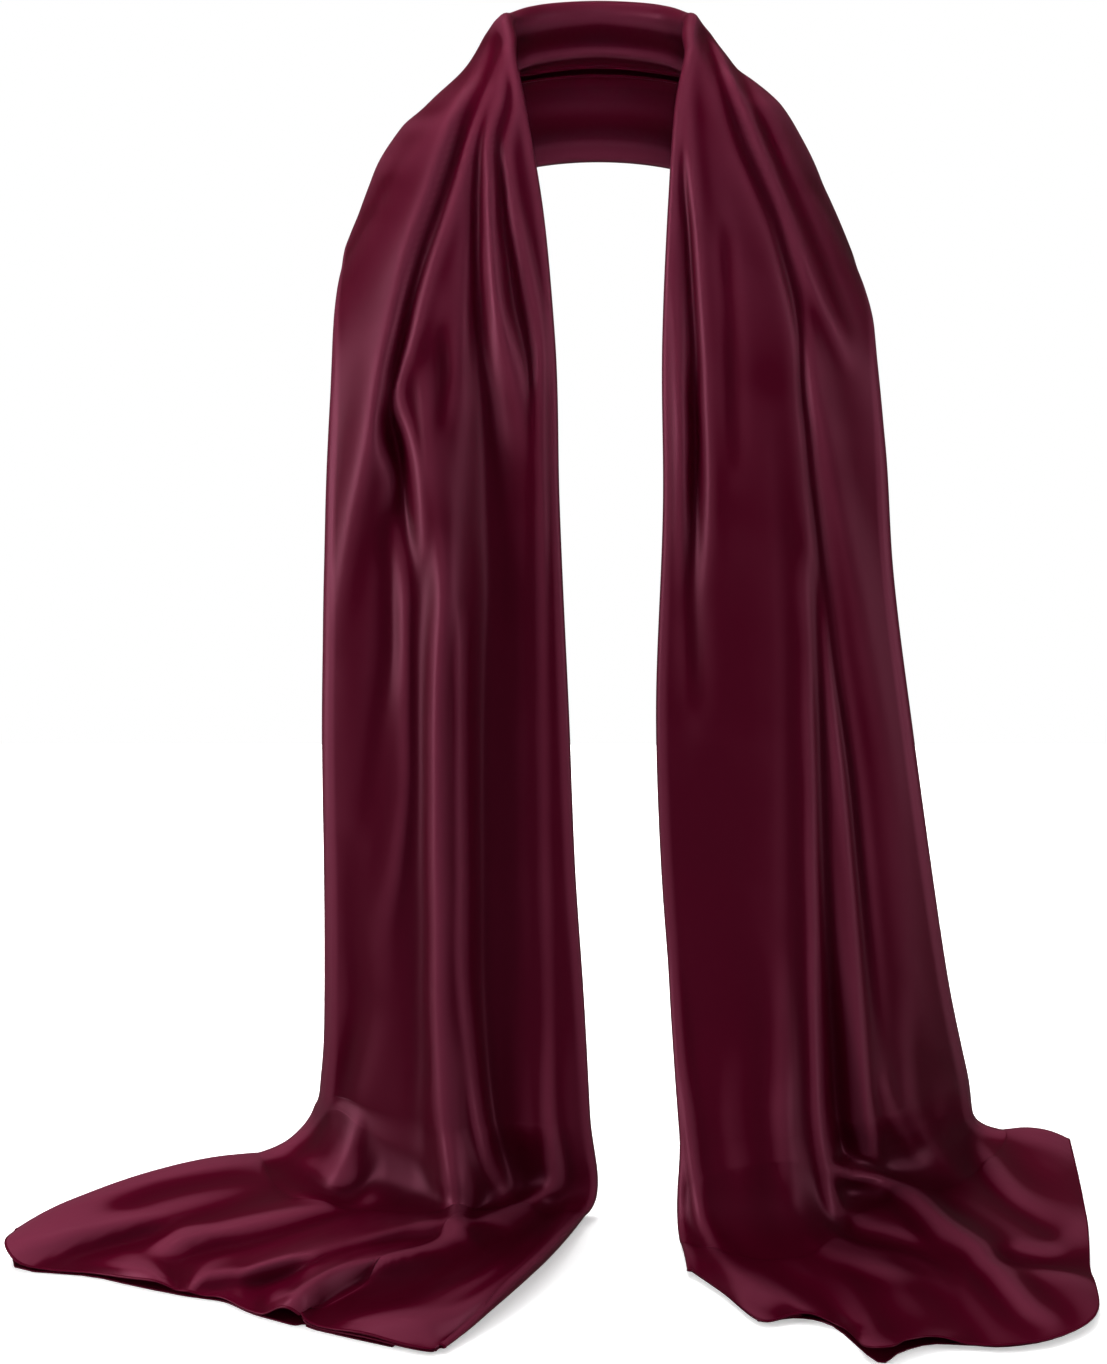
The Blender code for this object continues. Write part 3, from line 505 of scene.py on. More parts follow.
# %% Folds of the right fall
RIGHT_FALL_FOLDS = {
    "shoulder_hollow": ((700, 16, 0, 24, 8), (718, 40, -6), (736, 60, -6), (756, 82, -4),
        (776, 104, 0)),
    "shoulder_swell": ((744, 68, 0, 26, 10), (762, 88, 3, 28, 10), (782, 112, 4, 30, 10), (798, 136, 3),
        (812, 160, 2), (826, 186, 0)),
    "groove": ((693, 20, 0, 6, 5), (708, 50, -3, 8, 6), (718, 75, -4, 9, 6), (728, 100, -5, 9, 7),
        (742, 140, -6), (758, 180, -6), (773, 217, -5), (786, 260, -5), (795, 300, -5, 8, 7),
        (801, 340, -4, 7, 6), (804, 400, -4, 7, 7), (807, 430, -4), (811, 470, -4, 8, 7), (817, 520, -5),
        (825, 590, -5), (832, 650, -5), (842, 720, -5), (851, 790, -5), (858, 865, -5), (864, 930, -4),
        (872, 1010, -2, 8, 8), (880, 1060, 0)),
    "second_ridge": ((706, 30, 0, 4, 5), (724, 62, 3, 5, 6), (738, 100, 4, 6, 6), (755, 140, 5, 7, 7),
        (772, 180, 4, 7, 8), (787, 217, 4), (803, 260, 4, 8, 8), (819, 300, 3, 8, 9), (838, 340, 2),
        (852, 375, 0)),
    "second_groove": ((722, 50, 0, 6, 6), (738, 75, -2), (752, 100, -3, 7, 7), (769, 140, -4, 7, 8),
        (786, 180, -3), (803, 217, -3, 7, 9), (821, 260, -3, 7, 10), (838, 300, -2, 8, 10), (855, 345, 0)),
    "neck_slot": ((684, 140, 0, 5, 5), (684, 180, -3, 6, 5), (687, 217, -5, 7, 5), (690, 260, -6, 8, 5),
        (692, 300, -6, 8, 6), (694, 340, -6, 9, 7), (695, 366, -7, 10, 7), (695, 400, -9), (696, 430, -10),
        (696, 470, -10, 10, 8), (695, 520, -7, 10, 9), (692, 590, -4, 9, 10), (694, 650, -3),
        (696, 720, 0)),
    "slot_shade": ((672, 260, 0, 6, 6), (677, 320, 2, 7, 7), (680, 380, 3, 8, 7), (682, 430, 4),
        (682, 480, 3), (681, 540, 2), (680, 600, 0)),
    "slot_lip": ((697, 230, 0, 5, 6), (700, 280, 1, 6, 9), (704, 340, 1, 6, 10), (707, 400, 1),
        (708, 470, 1), (708, 520, 1), (708, 590, 0)),
    "lapel_ridge": ((691, 40, 0, 6, 6), (688, 80, 2, 8, 8), (689, 140, 3, 9, 10), (693, 190, 3),
        (699, 240, 1, 8, 10), (704, 280, 0)),
    "soft_line": ((724, 215, 0, 7, 8), (726, 260, -2, 7, 9), (729, 300, -2, 8, 9),
        (731, 366, -3, 8, 10), (733, 430, -2), (735, 480, 0)),
    "broad_band": ((764, 380, 0, 30, 22), (768, 470, 3, 34, 20), (774, 590, 5, 38, 20),
        (776, 720, 5, 40, 20), (776, 865, 5, 38, 20), (778, 1000, 4, 24, 16), (780, 1116, 4, 18, 14),
        (784, 1180, 2, 14, 14), (786, 1230, 0, 12, 12)),
    "long_slot": ((813, 545, 0, 6, 6), (816, 590, -2, 7, 6), (819, 650, -3), (821, 720, -4, 7, 7),
        (823, 790, -4), (825, 865, -5), (827, 930, -8, 8, 9), (830, 1000, -14, 9, 12),
        (833, 1060, -18, 10, 15), (836, 1110, -20, 10, 17), (840, 1140, -17, 10, 16),
        (844, 1160, -8, 9, 12), (846, 1174, 0, 8, 10)),
    "slot_edge": ((801, 545, 0, 12, 6), (804, 590, 2, 13, 6), (807, 650, 2), (809, 720, 3, 12, 6),
        (811, 790, 3, 11, 6), (812, 865, 4, 10, 6), (814, 930, 4, 9, 6), (815, 1000, 4, 8, 6),
        (817, 1060, 5, 7, 6), (819, 1116, 5, 7, 7), (824, 1160, 5), (834, 1205, 4), (842, 1222, 0)),
    "fine_ridge": ((820, 560, 0, 5, 6), (824, 620, 2), (831, 690, 2, 6, 6), (839, 760, 3, 6, 7),
        (846, 830, 3), (852, 900, 3, 7, 7), (857, 980, 3, 7, 8), (861, 1060, 4), (866, 1116, 4),
        (874, 1160, 3), (880, 1180, 0)),
    "shoulder_band": ((806, 320, 0, 8, 10), (812, 366, 3, 8, 14), (817, 400, 4, 8, 15),
        (824, 430, 4, 9, 16), (831, 470, 4, 11, 17), (841, 520, 5, 13, 18), (855, 590, 5, 15, 20),
        (866, 650, 5, 16, 22), (880, 720, 5, 18, 24), (892, 790, 5, 20, 24), (900, 865, 4),
        (908, 930, 4, 22, 24), (916, 1000, 3), (924, 1060, 0)),
    "outer_roll": ((858, 270, 0, 24, 8), (870, 320, 1), (877, 370, 1), (883, 430, 0, 24, 6),
        (889, 500, -1), (897, 590, -2), (910, 700, -4, 26, 6), (932, 865, -3), (955, 1000, -2, 24, 6),
        (970, 1060, -1, 24, 8), (985, 1110, 0)),
    "low_trough": ((756, 930, 0, 18, 12), (759, 1000, -1, 18, 14), (762, 1060, -2), (760, 1116, -2),
        (764, 1170, -1, 16, 12), (772, 1215, 0, 12, 12)),
    "low_ridge": ((784, 940, 0, 9, 7), (785, 1000, 1, 10, 8), (789, 1060, 1), (787, 1116, 2, 12, 8),
        (790, 1170, 1), (796, 1215, 0, 10, 8)),
    "neck_edge_roll": ((670, 960, 0, 5, 7), (675, 1010, 3), (680, 1060, 4, 6, 7), (686, 1112, 5, 6, 8),
        (695, 1178, 5), (706, 1232, 5, 8, 10), (722, 1256, 4, 10, 12), (750, 1278, 5, 12, 14),
        (810, 1312, 4), (830, 1324, 0)),
    "foot_trough": ((712, 1040, 0, 9, 9), (714, 1116, -1, 10, 9), (720, 1170, -1, 10, 10),
        (730, 1225, 0)),
    "foot_ridge": ((880, 1060, 0, 6, 8), (886, 1092, 2, 8, 8), (902, 1130, 2, 8, 9), (922, 1162, 2),
        (940, 1182, 0)),
    "side_ridge": ((903, 980, 0, 10, 10), (908, 1060, 2, 11, 11), (914, 1116, 3), (940, 1160, 3),
        (965, 1190, 0, 10, 10)),
}
print("folds of the right fall:", len(RIGHT_FALL_FOLDS))

# %% [markdown]
# ## The folds of the two ends
#
# On the floor the cloth has more room than it needs, so it lifts in low waves that run out to the hem
# and open there like mouths. Most of these lines run sideways in the picture.

# %% Folds of the two ends on the floor
FLOOR_FOLDS = {
    "left_corner_groove": ((262, 1160, 0, 8, 6), (285, 1172, -3), (320, 1192, -6, 9, 6),
        (345, 1200, -8, 10, 7), (358, 1194, -5, 10, 8), (370, 1182, -2), (384, 1166, 0, 9, 8)),
    "left_main_ridge": ((178, 1286, 0, 10, 10), (195, 1277, 6, 12, 12), (250, 1268, 8, 14, 12),
        (300, 1256, 9, 16, 13), (360, 1238, 10, 16, 14), (400, 1228, 11, 16, 15), (440, 1222, 11, 14, 15),
        (461, 1222, 8, 12, 12), (474, 1226, 0, 10, 12)),
    "left_upper_ridge": ((150, 1256, 0, 8, 10), (166, 1246, 7, 10, 11), (220, 1230, 7, 14, 11),
        (290, 1213, 6, 14, 10), (350, 1203, 4, 12, 8), (400, 1198, 0, 10, 8)),
    "left_tip_ridge": ((-12, 1250, 7, 12, 15), (20, 1243, 9), (60, 1235, 9, 14, 14),
        (110, 1224, 6, 14, 13), (170, 1208, 5, 14, 12), (230, 1194, 3), (280, 1184, 0, 12, 12)),
    "left_pocket": ((60, 1256, 0, 12, 8), (90, 1250, -3), (125, 1243, -5, 12, 7),
        (155, 1236, -4, 10, 6), (175, 1232, 0, 9, 6)),
    "left_lip": ((70, 1266, 0, 8, 8), (92, 1265, 2, 8, 9), (122, 1266, 5, 9, 12), (148, 1270, 7, 9, 13),
        (163, 1277, 5, 8, 12), (174, 1286, 0, 8, 10)),
    "left_main_shade": ((240, 1292, 0, 10, 8), (262, 1286, -3, 11, 8), (300, 1274, -4, 12, 8),
        (335, 1260, -4, 12, 7), (385, 1248, -4, 12, 6), (425, 1243, -4), (450, 1237, -3, 11, 6),
        (475, 1221, 0, 9, 6)),
    "left_upper_shade": ((165, 1264, 0, 9, 8), (190, 1256, -2, 10, 8), (250, 1247, -3, 11, 8),
        (325, 1230, -2), (370, 1220, 0, 10, 8)),
    "left_second_ridge": ((262, 1308, 0, 10, 14), (280, 1299, 11, 10, 18), (297, 1292, 15, 12, 21),
        (320, 1276, 14, 12, 19), (355, 1262, 12, 12, 16), (395, 1256, 11, 12, 15), (435, 1250, 10, 12, 14),
        (472, 1231, 10), (510, 1216, 9, 12, 13), (545, 1195, 5, 10, 12), (562, 1184, 0)),
    "left_third_trough": ((335, 1318, 0, 10, 8), (355, 1310, -4, 12, 8), (400, 1298, -6, 13, 7),
        (435, 1283, -6, 13, 6), (460, 1270, -6), (485, 1251, -6), (510, 1237, -5, 12, 6),
        (552, 1207, -2, 9, 7), (568, 1196, 0)),
    "left_third_ridge": ((400, 1307, 0, 8, 8), (430, 1293, 4, 8, 10), (452, 1280, 6),
        (485, 1256, 7, 8, 11), (505, 1241, 6, 8, 10), (527, 1229, 4), (550, 1212, 0, 8, 8)),
    "left_broad_ridge": ((340, 1334, 0, 8, 10), (367, 1322, 8, 10, 13), (400, 1318, 11, 12, 16),
        (428, 1320, 11, 14, 16), (447, 1314, 9, 14, 14), (500, 1284, 7, 16, 14), (540, 1256, 6, 16, 13),
        (575, 1222, 4, 14, 12), (594, 1204, 0, 12, 12)),
    "left_rim": ((3, 1237, 0, 9, 9), (20, 1228, 3, 10, 10), (50, 1216, 6, 11, 11),
        (95, 1202, 7, 10, 10), (125, 1191, 5, 9, 9), (159, 1180, 3, 8, 8), (228, 1164, 3), (262, 1160, 2),
        (288, 1150, 0, 7, 6)),
    "right_main_crest": ((828, 1168, 0, 5, 10), (842, 1170, 6, 6, 12), (862, 1174, 8, 6, 14),
        (884, 1180, 9), (915, 1194, 10, 7, 15), (943, 1219, 10, 8, 15), (983, 1249, 8, 9, 14),
        (1010, 1280, 6, 9, 13), (1030, 1303, 4, 9, 12), (1052, 1320, 2, 9, 10), (1064, 1328, 0)),
    "right_hook": ((822, 1222, 0, 8, 7), (836, 1228, -4, 9, 7), (860, 1240, -6, 10, 7), (888, 1246, -6),
        (914, 1252, -4, 9, 7), (945, 1266, -2, 8, 7), (965, 1280, 0)),
    "right_hook_lip": ((800, 1240, 0, 9, 9), (830, 1252, 2, 9, 10), (870, 1265, 3, 9, 12),
        (915, 1276, 2), (960, 1296, 0, 9, 10)),
    "right_back_ridge": ((968, 1140, 0, 8, 9), (984, 1157, 3, 9, 10), (1014, 1188, 4, 9, 12),
        (1036, 1204, 3, 9, 10), (1066, 1218, 2, 9, 9), (1092, 1226, 2)),
    "right_groove": ((980, 1252, 0, 8, 5), (1000, 1259, -5, 9, 5), (1040, 1265, -6), (1080, 1268, -5),
        (1095, 1270, -4, 8, 5)),
    "right_low_trough": ((730, 1262, 0, 12, 10), (760, 1268, -1), (800, 1290, -2), (840, 1318, -3),
        (862, 1342, -3)),
    "right_tip": ((838, 1340, 0, 12, 12), (866, 1346, 6, 13, 12), (890, 1350, 10, 14, 14),
        (918, 1346, 9, 13, 14), (950, 1342, 3, 12, 12), (968, 1340, 0)),
}
print("folds of the two ends:", len(FLOOR_FOLDS))

# %% [markdown]
# ## From the lines to one relief
#
# The section across a fold is a bell curve, with a flank of its own width on each side, because a
# gathered fold is round on top and runs out softly. All the folds are added up. A point that is
# lifted is seen elsewhere, above all on the floor, so its place in the picture is read again a few
# times. Round the back of the neck the folds are given by their place across the strip instead.

# %% Relief of the front
FRONT_STARTS, FRONT_EASE = 108.0, 40.0     # mm along the strip where the front's folds fade in
LOOKS = 14                                 # times that the picture place is read again
LOOK_KEEPS = 0.5                           # share of the last relief that each look keeps
SMOOTHINGS = 4                             # times that each height is evened out with its neighbours
LINE_SAMPLES = 200                         # points on the line of a fold
GROW_FROM, GROW_OVER = 230.0, 220.0        # picture rows over which the falls' folds change in depth
LEFT_GROWS, RIGHT_GROWS = (0.85, 1.05), (0.8, 0.75)       # their depth above and below those rows
NAPE_FOLDS = ((0.10, 2.0, 0.06), (0.26, -2.5, 0.07), (0.42, 2.5, 0.07), (0.60, -2.5, 0.08),
              (0.78, 2.0, 0.07), (0.92, -1.5, 0.06))      # place across, height, width


def full_rows(places):
    """Places of a fold, each with the flanks of the place before where it gives none."""
    rows, flanks = [], ()
    for place in places:
        flanks = place[3:] or flanks
        rows.append(place[:3] + flanks)
    return np.array(rows, float)


def fold_relief(folds, seen_x, seen_y):
    """Sum of bell curves height * exp(-(distance / flank)^2) about the line of every fold."""
    total = np.zeros_like(seen_x)
    for rows in map(full_rows, folds.values()):
        down = np.ptp(rows[:, 1]) >= np.ptp(rows[:, 0])
        ahead, aside = (seen_y, seen_x) if down else (seen_x, seen_y)
        knots, values = (rows[:, 1], rows[:, [0, 2, 3, 4]]) if down else (rows[:, 0], rows[:, 1:])
        near = (ahead >= knots[0]) & (ahead <= knots[-1])
        fine = np.linspace(knots[0], knots[-1], LINE_SAMPLES)
        line = smooth_through(knots, values, fine)
        slant = 1.0 / np.hypot(1.0, np.gradient(line[:, 0], fine))
        centre, height, before, after, lean = (
            np.interp(ahead[near], fine, sizes) for sizes in (*line.T, slant))
        distance = (aside[near] - centre) * lean
        flank = np.where(distance < 0.0, before, after)
        total[near] += height * np.exp(-(distance / flank) ** 2)
    return total


def grown(upper, lower, seen_y):
    """Depth of the folds in every picture row, eased from its upper to its lower value."""
    return upper + (lower - upper) * soft_step((seen_y - GROW_FROM) / GROW_OVER)


def bells(places, folds):
    """Sum of bell curves height * exp(-((place - middle) / width)^2) across the strip."""
    return sum(height * np.exp(-((places - middle) / width) ** 2) for middle, height, width in folds)


def grid_normals(grid):
    """Unit normals: cross product of the slopes along and across the grid."""
    return unit(np.cross(np.gradient(grid, axis=0), np.gradient(grid, axis=1)))


first, last = FLAP_FACES + TURN_FACES, FLAP_FACES + TURN_FACES + PANEL_FACES
panel = smooth_form[:, first:last + 1]
panel_out = grid_normals(panel)
panel_share = np.linspace(0.0, 1.0, PANEL_FACES + 1)
shown = soft_step((np.abs(row_place) - FRONT_STARTS) / FRONT_EASE)[:, None]
relief = np.zeros(panel.shape[:2])
for look in range(LOOKS):
    seen = picture_place(panel + panel_out * relief[..., None])
    relief = LOOK_KEEPS * relief + (1.0 - LOOK_KEEPS) * shown * (
        grown(*LEFT_GROWS, seen[1]) * fold_relief(LEFT_FALL_FOLDS, *seen)
        + grown(*RIGHT_GROWS, seen[1]) * fold_relief(RIGHT_FALL_FOLDS, *seen)
        + fold_relief(FLOOR_FOLDS, *seen))
for smoothing in range(SMOOTHINGS):
    for heights in (relief, relief.T):
        heights[1:-1] = 0.25 * heights[:-2] + 0.5 * heights[1:-1] + 0.25 * heights[2:]
relief = relief + (1.0 - shown) * bells(panel_share, NAPE_FOLDS)[None, :]
print("highest and lowest fold, mm:", round(float(relief.max()), 1), round(float(relief.min()), 1))

# %% [markdown]
# ## The relief on the layers behind
#
# On a real scarf the layers lie close, so they share their folds. The flap follows the panel in front
# of it, and the back layer follows it a little. On the floor the back layer lies flat, and nothing
# sinks into the floor: the height over the floor is rounded off above a least value instead of cut.

# %% Relief of every layer
STANDS_FROM, STANDS_OVER = 12.0, 60.0      # heights over the floor between which a layer starts to hang
LEAST_LIFT, LIFT_EASE = 2.6, 1.0           # the panel's least height over the floor, and its rounding
NECK_LINES = ((0.24, 3.2, 0.04), (0.33, -2.0, 0.03), (0.41, 1.2, 0.025), (0.92, 1.2, 0.05))


def read_across(panel_rows):
    """Values of the panel's rows, read at the across place of every column of the strip."""
    return np.stack([np.interp(places, panel_share, values) for places, values in zip(across, panel_rows)])


hanging = soft_step((smooth_form[..., 2] - FLOOR - STANDS_FROM) / STANDS_OVER)
flap_follows = layer_value(FLAP_FOLLOWS, hanging_place)[:, None]
follows = (1.0 - in_flap - in_back
           + in_flap * (flap_follows * hanging + FLAP_SINKS * (1.0 - hanging))
           + in_back * BACK_FOLLOWS * hanging)
out = unit(np.stack([read_across(panel_out[..., axis]) for axis in range(3)], axis=-1))
inwards = bells(across, NECK_LINES) * (in_flap + in_back) * (1.0 - shown)
strip = smooth_form + out * (read_across(relief) * follows - inwards)[..., None]
over = strip[..., 2] - FLOOR - LEAST_LIFT
rounded = 0.5 * (over + np.sqrt(over ** 2 + LIFT_EASE ** 2))
strip[..., 2] += (rounded - over) * (1.0 - in_flap - in_back)
lowest = float(strip[:, first:last, 2].min()) - FLOOR
print("lowest point of the panel over the floor, mm:", round(lowest, 2))

# %% [markdown]
# ## From a grid of points to a thin wall of cloth
#
# Satin is about half a millimetre thick here. The wall is the grid moved out and in by half of that
# along its normals, with a rim that joins the two. A Solidify modifier could do it too, but written
# out, the normals are read from the whole strip and kept on the mesh, so that the light runs on
# smoothly where one stretch meets the next.

# %% Cloth wall
CLOTH_THICKNESS = 0.5


def cloth_map(grid, start):
    """Flat place of every point: mean length across to its column, and along to its row."""
    across = np.linalg.norm(np.diff(grid, axis=1), axis=2).mean(axis=0)
    along = np.linalg.norm(np.diff(grid, axis=0), axis=2).mean(axis=1)
    u = np.concatenate([[0.0], np.cumsum(across)])
    v = start + np.concatenate([[0.0], np.cumsum(along)])
    return np.stack(np.broadcast_arrays(u[None, :], v[:, None]), axis=-1) * MM


def wall_faces(rows, columns):
    """Four-cornered faces of the outer and the inner side, and of the rim that joins them."""
    index = np.arange(rows * columns).reshape(rows, columns)
    a, b, c, d = index[:-1, :-1], index[1:, :-1], index[1:, 1:], index[:-1, 1:]
    outer = np.stack([a, b, c, d], axis=-1).reshape(-1, 4)
    inner = np.stack([a, d, c, b], axis=-1).reshape(-1, 4) + rows * columns
    rim = np.concatenate([index[0, :], index[1:, -1], index[-1, -2::-1], index[-2:0:-1, 0]])
    under = rim + rows * columns
    edge = np.stack([rim, np.roll(rim, -1), np.roll(under, -1), under], axis=1)
    return np.concatenate([outer, inner]), edge


def quad_mesh(name, points, faces):
    """Mesh of points and four-cornered faces."""
    mesh = bpy.data.meshes.new(name)
    mesh.vertices.add(len(points))
    mesh.vertices.foreach_set("co", points.ravel())
    mesh.loops.add(faces.size)
    mesh.loops.foreach_set("vertex_index", faces.ravel().astype(np.int32))
    mesh.polygons.add(len(faces))
    mesh.polygons.foreach_set("loop_start", (np.arange(len(faces)) * 4).astype(np.int32))
    mesh.update(calc_edges=True)
    return mesh


def cloth_wall(name, grid, normal, painted_crest_light, flat_start):
    """Closed mesh of the grid moved half the thickness out and in, with a rim."""
    half = 0.5 * CLOTH_THICKNESS
    points = np.concatenate([(grid + normal * half).reshape(-1, 3),
                             (grid - normal * half).reshape(-1, 3)]) * MM
    sides, edge = wall_faces(*grid.shape[:2])
    faces = np.concatenate([sides, edge])
    mesh = quad_mesh(name, points, faces)
    flat = np.tile(cloth_map(grid, flat_start).reshape(-1, 2), (2, 1))
    layer = mesh.uv_layers.new(name="cloth")
    layer.data.foreach_set("uv", flat[faces.ravel()].ravel())
    # The crest mask is kept on the mesh; the satin paints a highlight with it on crests and shade in
    # troughs.
    painted_light_mask = mesh.attributes.new("painted_crest_light", "FLOAT", "POINT")
    painted_light_mask.data.foreach_set("value", np.concatenate([painted_crest_light.ravel(), -painted_crest_light.ravel()]))
    smooth = np.concatenate([normal.reshape(-1, 3), -normal.reshape(-1, 3)])[faces.ravel()]
    corner = points[edge]
    across_rim = np.cross(corner[:, 2] - corner[:, 0], corner[:, 3] - corner[:, 1])
    smooth[sides.size:] = np.repeat(unit(across_rim), 4, axis=0)
    mesh.shade_smooth()
    mesh.normals_split_custom_set(smooth.tolist())
    return in_scene(name, mesh)


print("cloth thickness in mm:", CLOTH_THICKNESS)

# %% [markdown]
# ## Crests and troughs, for painted highlight and shade
#
# Folded satin looks lighter on its crests. Here that light is painted: a painted highlight on the crests
# and painted shade in the troughs. Blender's pointiness finds sharp edges, but not soft folds as broad
# as these. So each point's height over its neighbours is worked out here and kept on the mesh, where
# the satin reads it to paint the highlight and the shade.

# %% Crests for painted light
CREST_REACH = (4, 6)       # rows and columns to the neighbours that a crest is measured against
CREST_HEIGHT = 1.8         # mm over those neighbours at which the cloth counts as a full crest
TURN_CALM = 0.8            # how much less the turns of the two long folds count


def crest_mask_for_painted_light(grid, normal):
    """Height over the middle of two neighbours each way, along the normal, squeezed into -1 to 1."""
    height = 0.0
    for axis, reach in enumerate(CREST_REACH):
        places = np.arange(grid.shape[axis])
        before = np.take(grid, np.maximum(places - reach, 0), axis=axis)
        after = np.take(grid, np.minimum(places + reach, places[-1]), axis=axis)
        inside = (places >= reach) & (places <= places[-1] - reach)
        rise = ((grid - 0.5 * (before + after)) * normal).sum(axis=2)
        height = height + rise * (inside[:, None] if axis == 0 else inside[None, :])
    return np.tanh(height / CREST_HEIGHT)


strip_normals = grid_normals(strip)
at_turns = np.clip(4.0 * in_flap * (1.0 - in_flap) + 4.0 * in_back * (1.0 - in_back), 0.0, 1.0)
strip_painted_light_mask = crest_mask_for_painted_light(strip, strip_normals) * (1.0 - TURN_CALM * at_turns)
print("share of the cloth that is a crest:", round(float((strip_painted_light_mask > 0.5).mean()), 3))

# %% [markdown]
# ## The whole strip, parted into its stretches
#
# The real scarf is one cloth. The strip is cut into the five stretches that show only so that each
# piece stands for the solid of the same stretch. Two neighbours share their last row of points.

# %% Stretches of the scarf
STRETCHES = (
    ("satin_end_left", "floor_end_left"), ("satin_fall_left", "fall_left"), ("satin_neck", "neck_band"),
    ("satin_fall_right", "fall_right"), ("satin_end_right", "floor_end_right"))
row_steps = np.linalg.norm(np.diff(strip, axis=0), axis=2).mean(axis=1)
flat_along = np.concatenate([[0.0], np.cumsum(row_steps)])
stretch_rows = {
    name: slice(parts[k], parts[k + 1] + 1) for k, (name, node) in enumerate(STRETCHES)}
pieces = {}
for name, node in STRETCHES:
    rows = stretch_rows[name]
    pieces[name] = cloth_wall(
        name, strip[rows], strip_normals[rows], strip_painted_light_mask[rows], flat_along[rows.start])
    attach(pieces[name], "root")
    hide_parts(node)
    print(name, len(pieces[name].data.polygons) * 2, "triangles")
print("cloth length that shows, m:", round(flat_along[-1] * MM, 3))

# %% [markdown]
# ## The rolled hem
#
# A satin scarf is hemmed by rolling its edge to a thin cord and stitching it down. The cord is an oval
# tube carried along each cut edge: the long edge of the flap, the long edge of the back layer, and
# the two ends. A bevelled curve could do it, but a tube worked out from the cloth's own edge always
# fits it. On each stretch the tubes are joined to one mesh.

# %% Rolled hem
HEM_WIDE, HEM_THICK = 0.95, 0.6            # half sizes of the oval, mm
HEM_SIDES = 8
HEM_IN = 0.5                               # how far inside the cut edge the oval's middle lies


def hem_tube(path, normal, inwards):
    """Oval ring middle + inwards * wide * cos(turn) + normal * thick * sin(turn) along the edge."""
    turn = np.linspace(0.0, 2.0 * np.pi, HEM_SIDES, endpoint=False)[None, :, None]
    middle = (path + inwards * HEM_IN)[:, None, :]
    rings = (middle + inwards[:, None, :] * HEM_WIDE * np.cos(turn)
             + normal[:, None, :] * HEM_THICK * np.sin(turn))
    index = np.arange(len(path) * HEM_SIDES).reshape(-1, HEM_SIDES)
    beside = np.roll(index, -1, axis=1)
    sides = np.stack([index[:-1], index[1:], beside[1:], beside[:-1]], axis=-1).reshape(-1, 4)
    return rings.reshape(-1, 3), sides, [index[0].tolist(), index[-1, ::-1].tolist()]


def hem_edges(rows):
    """The cut edges of a stretch: both long edges, and the end where the stretch has one."""
    grid, normal = strip[rows], strip_normals[rows]
    edges = [(grid[:, 0], normal[:, 0], grid[:, 1] - grid[:, 0]),
             (grid[:, -1], normal[:, -1], grid[:, -2] - grid[:, -1])]
    if rows.start == 0:
        edges.append((grid[0], normal[0], grid[1] - grid[0]))
    if rows.stop == len(strip):
        edges.append((grid[-1], normal[-1], grid[-2] - grid[-1]))
    return edges


def rolled_hem(name, rows):
    """One mesh of the tubes along every cut edge of a stretch."""
    points, faces = np.empty((0, 3)), []
    for path, normal, inwards in hem_edges(rows):
        inwards = unit(inwards - normal * (inwards * normal).sum(axis=1, keepdims=True))
        ring_points, sides, caps = hem_tube(path, normal, inwards)
        faces += (sides + len(points)).tolist()
        faces += [[corner + len(points) for corner in cap] for cap in caps]
        points = np.concatenate([points, ring_points])
    mesh = bpy.data.meshes.new(name)
    mesh.from_pydata((points * MM).tolist(), [], faces)
    mesh.shade_smooth()
    shell = bmesh.new()
    shell.from_mesh(mesh)
    bmesh.ops.recalc_face_normals(shell, faces=shell.faces)
    shell.to_mesh(mesh)
    shell.free()
    piece = in_scene(name, mesh)
    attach(piece, "root")
    return piece


hems = {name: rolled_hem(name.replace("satin", "hem"), rows) for name, rows in stretch_rows.items()}
print("hem pieces:", ", ".join(sorted(piece.name for piece in hems.values())))

# %% [markdown]
# ## Shader maths as expressions
#
# A material is a graph of nodes. Built node by node, its sums are hard to read, so one small class
# lets a shader value be written in sums as a number is, and one method makes every other node.

# %% Shader values as expressions
class Amount:
    """A shader value that is added, subtracted and multiplied like a number."""

    def __init__(self, finish, socket):
        self.finish, self.socket = finish, socket

    def maths(self, operation, *terms):
        """Result of a Math node on the terms."""
        node = self.finish.node("ShaderNodeMath", {"operation": operation}, dict(enumerate(terms)))
        return Amount(self.finish, node.outputs[0])

    def __add__(self, other):
        return self.maths("ADD", self, other)

    def __mul__(self, other):
        return self.maths("MULTIPLY", self, other)

    def __sub__(self, other):
        return self.maths("SUBTRACT", self, other)

    def __rsub__(self, other):
        return self.maths("SUBTRACT", other, self)

    __radd__, __rmul__ = __add__, __mul__


class Finish:
    """A material, with one method that adds any node."""

    def __init__(self, name):
        self.material = bpy.data.materials.new(name)
        self.material.use_nodes = True
        self.tree = self.material.node_tree
        self.shader = self.tree.nodes["Principled BSDF"]

    def node(self, kind, settings, sockets):
        """Node of a type: its settings first, then a value or a link for each socket."""
        node = self.tree.nodes.new(kind)
        for name, value in settings.items():
            setattr(node, name, value)
        self.put(node, sockets)
        return node

    def put(self, node, sockets):
        """For each named socket, link a shader value or another node's socket, or set a value."""
        for name, value in sockets.items():
            value = value.socket if isinstance(value, Amount) else value
            if isinstance(value, bpy.types.NodeSocket):
                self.tree.links.new(value, node.inputs[name])
            else:
                node.inputs[name].default_value = value

    def amount(self, kind, settings, sockets, output=0):
        """Shader value of one output of a new node."""
        return Amount(self, self.node(kind, settings, sockets).outputs[output])


print("shader values are ready")
